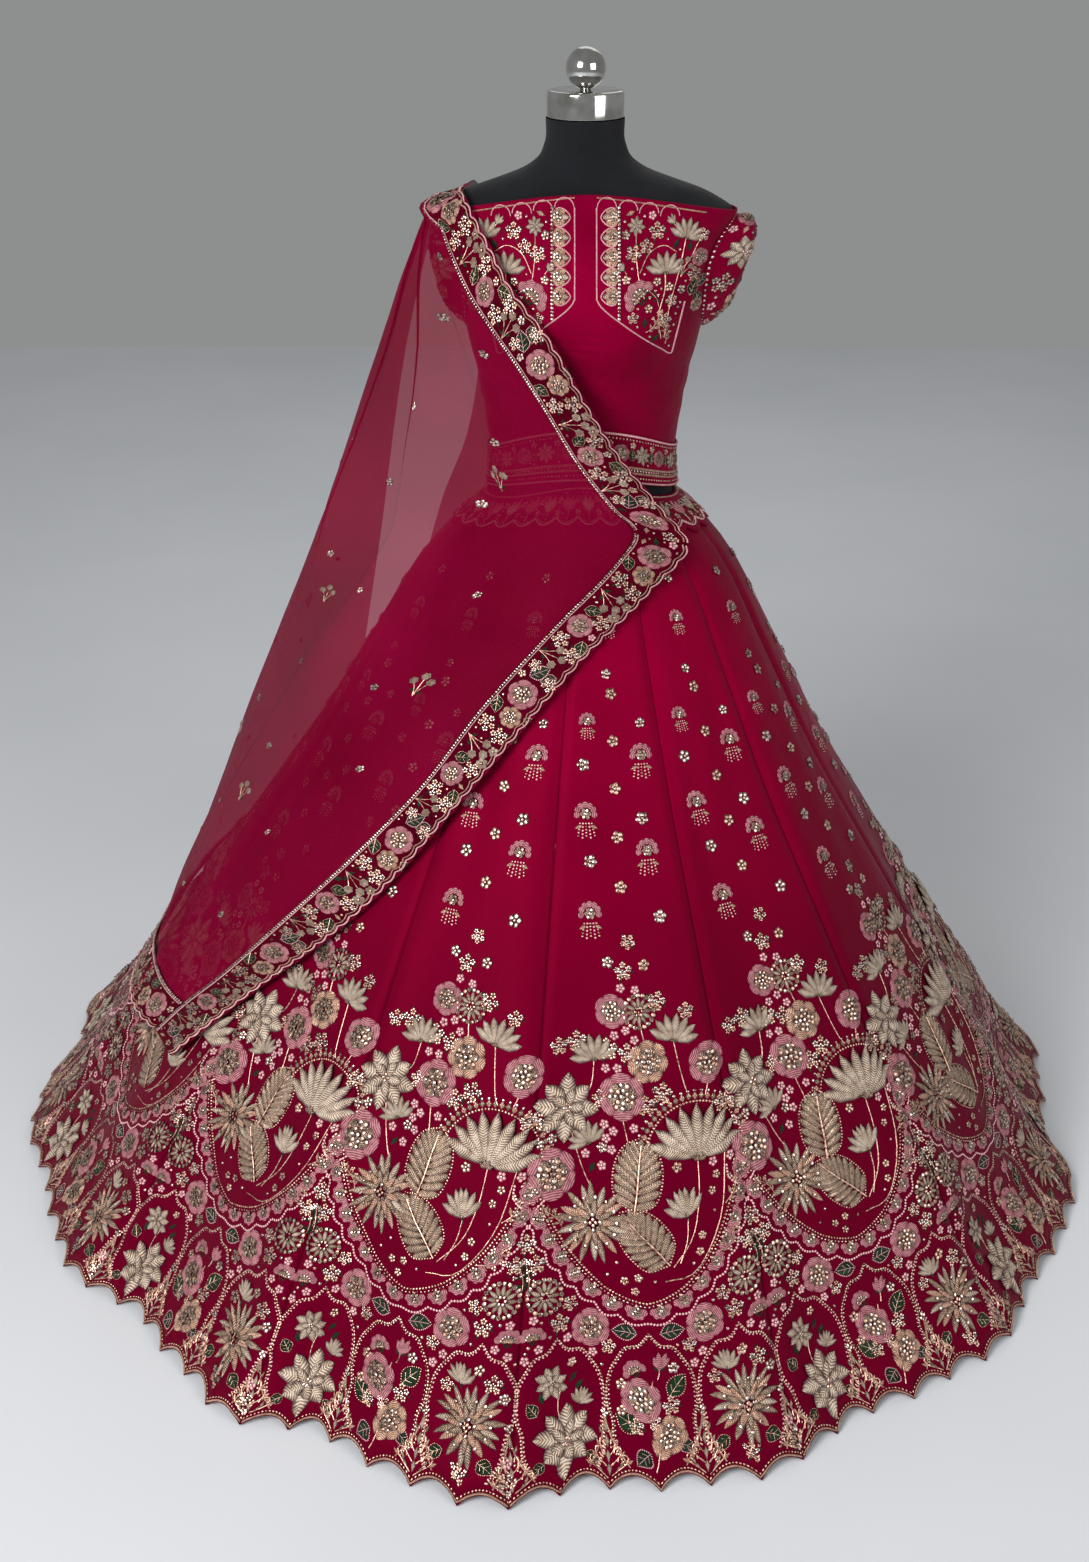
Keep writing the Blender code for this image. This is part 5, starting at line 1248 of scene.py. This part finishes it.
shawl = {
    # lines across the front fall, in mm: border's outer edge x y z, border's inner edge x y z, then thousandths fallen
    "rows": inMetres(
        (-150, 4, 1385.7, -181, 6, 1377, 0), (-149, -40, 1384, -177, -46, 1340, 35), (-115, -92, 1330, -148, -86, 1278, 90),
        (-88, -118, 1284, -118, -112, 1236, 130), (-44, -142, 1232, -88, -126, 1196, 170),
        (0, -142, 1155, -50, -130, 1137, 230), (45, -128, 1080, -10, -126, 1068, 300), (98, -116, 1010, 35, -126, 1008, 360),
        (137, -112, 954, 62, -138, 980, 400), (85, -176, 915, 40, -168, 951, 430), (-5, -246, 843, -51, -227, 871, 500),
        (-88, -289, 757, -133, -254, 783, 570), (-166, -316, 669, -208, -276, 686, 660),
        (-250, -330, 570, -299, -281, 588, 750), (-326, -331, 494, -377, -274, 507, 820),
        (-430, -316, 402, -487, -257, 391, 900), (-515, -304, 324, -553, -242, 327, 940),
        (-568, -290, 270, -600, -232, 275, 1000),
    ),
    # the free field's middle and its rear: thousandths fallen, then x y z in mm
    "flank": inMetres(
        (0, -186, 18, 1373.5), (35, -202, 12, 1342), (90, -222, 6, 1282), (170, -243, 8, 1195), (300, -291, 12, 1053),
        (430, -346, 15, 911), (570, -420, 18, 759), (750, -518, 22, 562), (900, -590, 20, 399), (940, -604, 10, 355),
        (1000, -638, 0, 290),
    ),
    "rear": inMetres(
        (0, -178, 42, 1371), (60, -200, 60, 1310), (150, -226, 90, 1215), (500, -300, 240, 832), (1000, -405, 440, 290),
    ),
    # lines across the back fall, in mm: spine side x y z, outer side x y z
    "backRows": inMetres(
        (-148, 5.3, 1386.5, -172, 6.6, 1380), (-138, 48, 1387, -162, 54, 1372), (-120, 86, 1345, -150, 86, 1330),
        (-95, 110, 1260, -138, 106, 1245), (-70, 114, 1150, -140, 118, 1140), (-50, 124, 1040, -160, 140, 1030),
        (-30, 190, 930, -200, 190, 920), (-10, 290, 780, -240, 270, 770), (10, 375, 640, -270, 345, 630),
        (19, 430, 560, -290, 385, 550), (25, 470, 505, -305, 415, 495),
    ),
    "lift": 0.0065, "seatHeight": 1.376, "shoulderLift": 0.0080, "shoulderHeight": 1.365, "shoulderSpread": 0.030,
    "waistLift": 0.010, "waistSpread": 0.070, "ripples": 4, "rippleDepth": 0.006, "pinRow": 8, "endRow": 16, "finer": 6,
    "backEndRow": 9, "backRippleDepth": 0.004, "backRipples": 3, "borderLift": 0.0008, "borderThickness": 0.0012,
}


# pushes the cloth out where it would sink into the skirt, the blouse or the form
def clearOfBody(points, lift):
    d = shawl
    x, y, z = points[..., 0], points[..., 1], points[..., 2]
    waist = skirt["waist"] + skirt["frontRise"] * frontShare(np.arctan2(y, x))
    drop = np.clip(1 - z / waist, 0, 1)
    angle = np.arctan2(y, x - skirt["hemCentreX"] * drop)
    centre, radius, _ = skirtBase(angle, drop)
    overWaist = d["waistLift"] * np.exp(-(((z - waist) / d["waistSpread"]) ** 2))
    need = radius + 1.25 * foldDepth(angle, drop) + lift * 1.2 + overWaist
    have = np.hypot(x - centre, y)
    grow = np.where((z < waist) & (have < need), need / have, 1.0)
    x, y = centre + (x - centre) * grow, y * grow
    lift = lift + d["shoulderLift"] * np.exp(-(((z - d["shoulderHeight"]) / d["shoulderSpread"]) ** 2)) + choliEase(z)
    front = smoothLookup(z, form, 2) + cups["depth"] * np.exp(-(((z - cups["height"]) / cups["tall"]) ** 2))
    deep = np.where(y < 0, front, smoothLookup(z, form, 3)) + lift
    have = np.hypot(x / (smoothLookup(z, form, 1) + lift), y / deep)
    inside = (z > waist - 0.02) & (z < d["seatHeight"]) & (have < 1)
    grow = np.where(inside, 1 / np.maximum(have, 1e-6), 1.0)
    return np.stack([x * grow, y * grow, z], -1)


def finerRows(rows):
    steps = np.linspace(0, len(rows) - 1, (len(rows) - 1) * shawl["finer"] + 1)
    return np.stack([smoothLookup(steps, numbered(rows), k) for k in range(1, rows.shape[1] + 1)], -1)


# columns runs from -1 at the border's outer edge through 0 at its inner edge to 1 at the rear of the free field
def shawlGrid(columns, pleats):
    d = shawl
    edges = finerRows(d["rows"][:, :6])
    outer, inner = edges[:, None, :3], edges[:, None, 3:]
    falls = np.interp(np.arange(len(edges)) / d["finer"], np.arange(len(d["rows"])), d["rows"][:, 6])
    flank, rear = (np.stack([smoothLookup(falls, d[part], k) for k in (1, 2, 3)], -1)[:, None] for part in ("flank", "rear"))

    def lines(u):
        u = u[..., None]
        field = (1 - u) * (1 - 2 * u) * inner + 4 * u * (1 - u) * flank + u * (2 * u - 1) * rear
        return np.where(u <= 0, inner + (outer - inner) * -u, field)

    # pleats: the net doubles back on itself in narrow tucks that fan out from the shoulder
    fall = falls[:, None]
    u = columns[None, :] + 0 * fall
    window = np.clip((u - 0.10) / 0.10, 0, 1) * np.clip((1 - u) / 0.08, 0, 1)
    phase = 2 * pi * (5.0 * u + 0.35 * np.sin(3 * u + 2.5 * fall))
    tuck = 0.034 * pleats * window * np.sin(phase) * (0.35 + 0.65 * (1 - fall**1.5))
    normals = gridNormals(lines(u))
    ripple = d["rippleDepth"] * np.sin(2 * pi * d["ripples"] * u) * (u > 0) * np.sin(pi * fall**0.8)
    layer = 0.0022 * pleats * window * np.cos(phase)
    flutter = 0.0015 * pleats * window * np.sin(2 * pi * (9 * u + 1.3 * fall))
    grid = clearOfBody(lines(u - tuck) + normals * ripple[..., None], d["lift"])
    return grid + normals * (layer + flutter)[..., None], falls


# one repeat of the border, x in mm along it and y in mm from its inner edge
borderDesign = {
    "width": 0.058, "repeat": 0.250, "scallop": 0.0227, "scallopDepth": 0.0035,
    "motifs": {
        "rosePink": ((30, 29, 76, 0), (166, 23, 64, 0)), "roseGold": (62, 36, 56, 0),
        "leafDark": ((6, 20, 66, -60), (238, 48, 50, 130)),
        "leafGreen": ((50, 6, 56, 60), (52, 50, 50, 10), (146, 12, 52, -30), (180, 40, 58, 60)),
        "bunch": ((86, 17, 84, 0), (90, 40, 82, 30), (146, 40, 80, 70), (194, 17, 84, 10), (204, 41, 84, 40),
            (240, 16, 62, 0), (0, 46, 70, 0)),
        "pomSpray": ((112, 8, 105, 16), (222, 6, 100, -12)), "flowerCream": ((131, 46, 130, 0), (110, 48, 110, 0)),
    },
}


def scallopWave(steps):
    return borderDesign["scallopDepth"] * (1 - np.abs(np.sin(pi * steps / borderDesign["scallop"])))


def drawBorder(length, seed):
    d = borderDesign
    lay = Layout((0, 0), (length, d["width"]))
    steps = np.linspace(0.002, length - 0.002, int(length / 0.0022))
    for w, slot, width in ((0.0, cordPink, 0.0018), (-0.0042, roseGold, 0.0014)):
        cord(lay, slot, np.stack([steps, d["width"] - 0.0012 - scallopWave(steps) + w], -1), width, 0.0020)
    fewer = steps[::4]
    beadLine(lay, sequin, np.stack([fewer, np.full(len(fewer), 0.0020)], -1), 0.0019, 0.0040, 0.25)
    cord(lay, cordPink, np.stack([fewer, np.full(len(fewer), 0.0048)], -1), 0.0012, 0.0014)
    for start in np.arange(0, length, d["repeat"]):
        for key, s, w, size, turn in spots(d["motifs"]):
            if 0.012 < start + s < length - 0.012:
                lay.put(key, start + s, w, size, turn)
    box = (0.005, 0.006), (length - 0.005, d["width"] - 0.006)
    fillClosely(lay, lambda s, w: 0.006 < w < d["width"] - 0.007, box, seed)
    return lay


# grid has its rows along the border and its columns from the inner edge outwards
def makeBorder(name, node, grid, seed):
    d = borderDesign
    run = rowRun(grid.mean(1))
    length = float(run[-1])
    surface = gridSurface(grid, run, np.linspace(0, d["width"], grid.shape[1]))
    steps = np.linspace(0, length, max(int(length / 0.0028), 8))
    w = np.linspace(0, 1, 9)[None, :] * (d["width"] - scallopWave(steps))[:, None]
    base = surface((steps[:, None] + 0 * w).ravel(), w.ravel()).reshape(len(steps), 9, 3)
    low = shawl["borderLift"]
    top = low + shawl["borderThickness"]
    cloth = attach(clothShell(name + "Silk", base, gridNormals(base), low, top, artSilkBorder), node)
    sewn = sew(name + "Embroidery", drawBorder(length, seed), surface, top + 0.0002)
    print(name, "length", round(length, 3))


# flowers on the net: thousandths across the field and thousandths fallen
netButis = {
    "flowerSequin": (
        (100, 60), (70, 160), (220, 130), (120, 270), (300, 240), (200, 360), (400, 330), (120, 460), (300, 470), (480, 440),
        (200, 570), (400, 560), (100, 660), (300, 670), (500, 640), (200, 760), (420, 770), (120, 850), (320, 870),
        (520, 840), (620, 300), (720, 450), (620, 580), (800, 620), (700, 740), (860, 800), (660, 880), (900, 500),
        (820, 350),
    ),
    "pomSpray": (
        (140, 335), (100, 565), (300, 745), (550, 710), (780, 560), (450, 500),
    ),
}


def drawButis(smooth, falls, netRun):
    lay = Stitches()
    widths = np.linalg.norm(np.diff(smooth, axis=1), axis=-1).sum(1)
    for key, places in netButis.items():
        for number, (u, fall) in enumerate(places):
            k = int(np.searchsorted(falls, fall / 1000))
            one = Stitches()
            one.place(motifs[key], 0, 0, 0.95, 20 * number if key == "flowerSequin" else -90)
            points, uvs, faces, slots = one.joined()
            # in metres down the fall, and in shares across it
            lay.add(points / (1, max(widths[k], 0.05), 1) + (netRun[k], u / 1000, 0), uvs, faces, slots)
    return lay


def netSheet(name, grid, node):
    return attach(meshFrom(name, grid.reshape(-1, 3), gridFaces(*grid.shape[:2]), [softNet]), node)


def makeShawl():
    d = shawl
    field = np.linspace(0, 1, 120) ** 1.15
    columns = np.concatenate([np.linspace(-1, 0, 13)[:-1], field])
    grid, falls = shawlGrid(columns, 1.0)
    smooth, _ = shawlGrid(columns, 0.0)
    net = netSheet("shawlNet", grid, "dupatta_front")
    netRun = rowRun(smooth[:, 40])
    surface = gridSurface(grid[:, 12:], netRun, field)
    sewn = sew("shawlButis", drawButis(smooth, falls, netRun), surface, 0.0004, steps=(0.002, 0.003), each=True)
    print("net flowers made")
    edge = smooth[:, 12::-1]
    pin, end = d["pinRow"] * d["finer"], d["endRow"] * d["finer"]
    makeBorder("borderUpper", "dupatta_border_upper", edge[:pin + 1], 51)
    makeBorder("borderLower", "dupatta_border_lower", edge[pin:], 52)
    makeBorder("borderEnd", "dupatta_border_end", np.swapaxes(smooth[end:, 13:], 0, 1), 53)

    edges = finerRows(d["backRows"])[:, None]
    u = np.linspace(0, 1, 60)
    back = edges[..., :3] + (edges[..., 3:] - edges[..., :3]) * u[None, :, None]
    ripple = d["backRippleDepth"] * np.sin(2 * pi * d["backRipples"] * u)[None, :] * np.linspace(0, 1, len(edges))[:, None]
    back = clearOfBody(back + gridNormals(back) * ripple[..., None], d["lift"])
    backNet = netSheet("shawlBackNet", back, "dupatta_back")
    last = np.swapaxes(back[d["backEndRow"] * d["finer"]:], 0, 1)
    makeBorder("borderBackEnd", "dupatta_border_back_end", last, 54)
    print("shawl made")


# dress form

dressForm = {
    "sides": 96, "foot": 0.80, "shoulder": 1.34, "neck": 1.4694,
    "capFoot": 1.4698, "capTop": 1.5013, "capRadius": 0.0478, "ballFoot": 1.5016, "ballRadius": 0.0245, "stud": 0.007,
}


def turnedPiece(name, profile, node):
    profile = np.array(profile, float)
    sides = dressForm["sides"]
    angles = np.arange(sides) * 2 * pi / sides
    grid = np.stack([profile[:, :1] * np.cos(angles), profile[:, :1] * np.sin(angles), profile[:, 1:] + 0 * angles], -1)
    attach(meshFrom(name, grid.reshape(-1, 3), gridFaces(len(profile), sides, True), [chrome]), node)


def makeForm():
    d = dressForm
    loop = np.arange(d["sides"])
    angles = loop * 2 * pi / len(loop) - pi
    heights = np.unique(np.concatenate([np.linspace(d["foot"], d["shoulder"], 46), np.linspace(d["shoulder"], d["neck"], 44)]))
    rings = formPoint(angles[None, :] + 0 * heights[:, None], heights[:, None] + 0 * angles[None, :], -0.0002)
    points = np.concatenate([rings.reshape(-1, 3), [rings[0].mean(0), rings[-1].mean(0)]])
    after, last = np.roll(loop, -1), (len(heights) - 1) * len(loop)
    foot, top = (np.full(len(loop), len(points) - k) for k in (2, 1))
    caps = [np.stack([after, loop, foot, foot], -1), np.stack([loop + last, after + last, top, top], -1)]
    faces = np.concatenate([gridFaces(len(heights), len(loop), True)[:, ::-1], *caps])
    attach(meshFrom("torsoJersey", points, faces, [blackJersey]), "form_torso")

    low, high, radius = d["capFoot"], d["capTop"], d["capRadius"]
    rim = [(radius - inset, high - fall) for inset, fall in (
        (0, 0.0034), (0.0004, 0.0018), (0.0015, 0.0006), (0.0032, 0), (0.0040, 0))]
    cap = [(0.0001, low), (radius - 0.0008, low), (radius, low + 0.0010), (radius, low + 0.0012), *rim, (0.0001, high)]
    turnedPiece("neckCapChrome", cap, "form_neck_cap")
    foot, radius, stud = d["ballFoot"], d["ballRadius"], d["stud"]
    turns = np.linspace(pi - math.asin(stud / radius), 0.002, 40)
    ball = [(radius * math.sin(t), foot + radius + radius * math.cos(t)) for t in turns]
    turnedPiece("ballChrome", [(0.0001, foot), (stud, foot), *ball], "form_ball")
    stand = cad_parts["form_stand"]
    stand.data.materials.clear()
    stand.data.materials.append(blackEnamel)
    print("dress form made")


# build

makeForm()
makeSkirt()
makeYoke()
makeCholi()
makeCholiBand()
makeSleeve("right", 1)
makeSleeve("left", -1)
print("choli made")
makeShawl()


# floor, light and camera

studio = {
    "floor": "E6E8EC", "floorWorn": "DDE0E5", "world": "F0F2F2", "worldStrength": 0.31,
    # name, place, aim, size in metres, watts
    "lights": (
        ("keyLight", (-2.2, -3.1, 2.9), (0, 0, 1.0), 1.7, 152), ("fillLight", (2.6, -2.8, 2.2), (0, 0, 0.9), 2.2, 46),
        ("rimLight", (0.5, 3.2, 3.4), (0, 0, 0.9), 2.4, 16),
    ),
}
view = {"place": (-0.0503, -2.353, 1.746), "pitch": 26.9, "lens": 41.6, "sensor": 36.0}


def addToScene(name, data, place, turn):
    made = bpy.data.objects.new(name, data)
    made.location, made.rotation_euler = place, turn
    bpy.context.scene.collection.objects.link(made)
    return made


def makeStudio():
    corners = [(x, y, -0.0004) for x, y in ((-6, -5), (6, -5), (6, 5), (-6, 5))]
    # Painted floor: matte, with faint wear
    made, tree, body = startMaterial("paintedFloor", {"Roughness": 0.75, "Specular IOR Level": 0.3})
    place = addNode(tree, "TexCoord").outputs["Object"]
    patch = addNode(tree, "TexNoise", {"Scale": 1.5, "Detail": 3.0}, {"Vector": place})
    tone = twoTone(tree, patch, {"dark": studio["floorWorn"], "light": studio["floor"]}, 0.1, 0.7)
    tree.links.new(tone.outputs[0], body.inputs["Base Color"])
    meshFrom("studioFloor", corners, [(0, 1, 2, 3)], [made], smooth=False)
    world = bpy.data.worlds.new("studioAir")
    world.use_nodes = True
    back = world.node_tree.nodes["Background"]
    back.inputs["Color"].default_value = linearColour(studio["world"])
    back.inputs["Strength"].default_value = studio["worldStrength"]
    bpy.context.scene.world = world
    for name, place, aim, size, watts in studio["lights"]:
        data = bpy.data.lights.new(name, "AREA")
        data.size, data.energy = size, watts
        addToScene(name, data, place, (Vector(aim) - Vector(place)).to_track_quat("-Z", "Y").to_euler())
    data = bpy.data.cameras.new("photoCamera")
    data.lens, data.sensor_width = view["lens"], view["sensor"]
    pose = math.radians(90 - view["pitch"]), 0, 0
    bpy.context.scene.camera = addToScene("photoCamera", data, view["place"], pose)
    bpy.context.scene.view_settings.view_transform = "Standard"
    print("studio made")


makeStudio()
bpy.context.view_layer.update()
meshes = [one for one in bpy.context.scene.objects if one.type == "MESH"]
triangles = {one.name: sum(len(p.vertices) - 2 for p in one.data.polygons) for one in meshes}
print("triangles in all", sum(triangles.values()), "largest", sorted(triangles.items(), key=lambda item: -item[1])[:6])
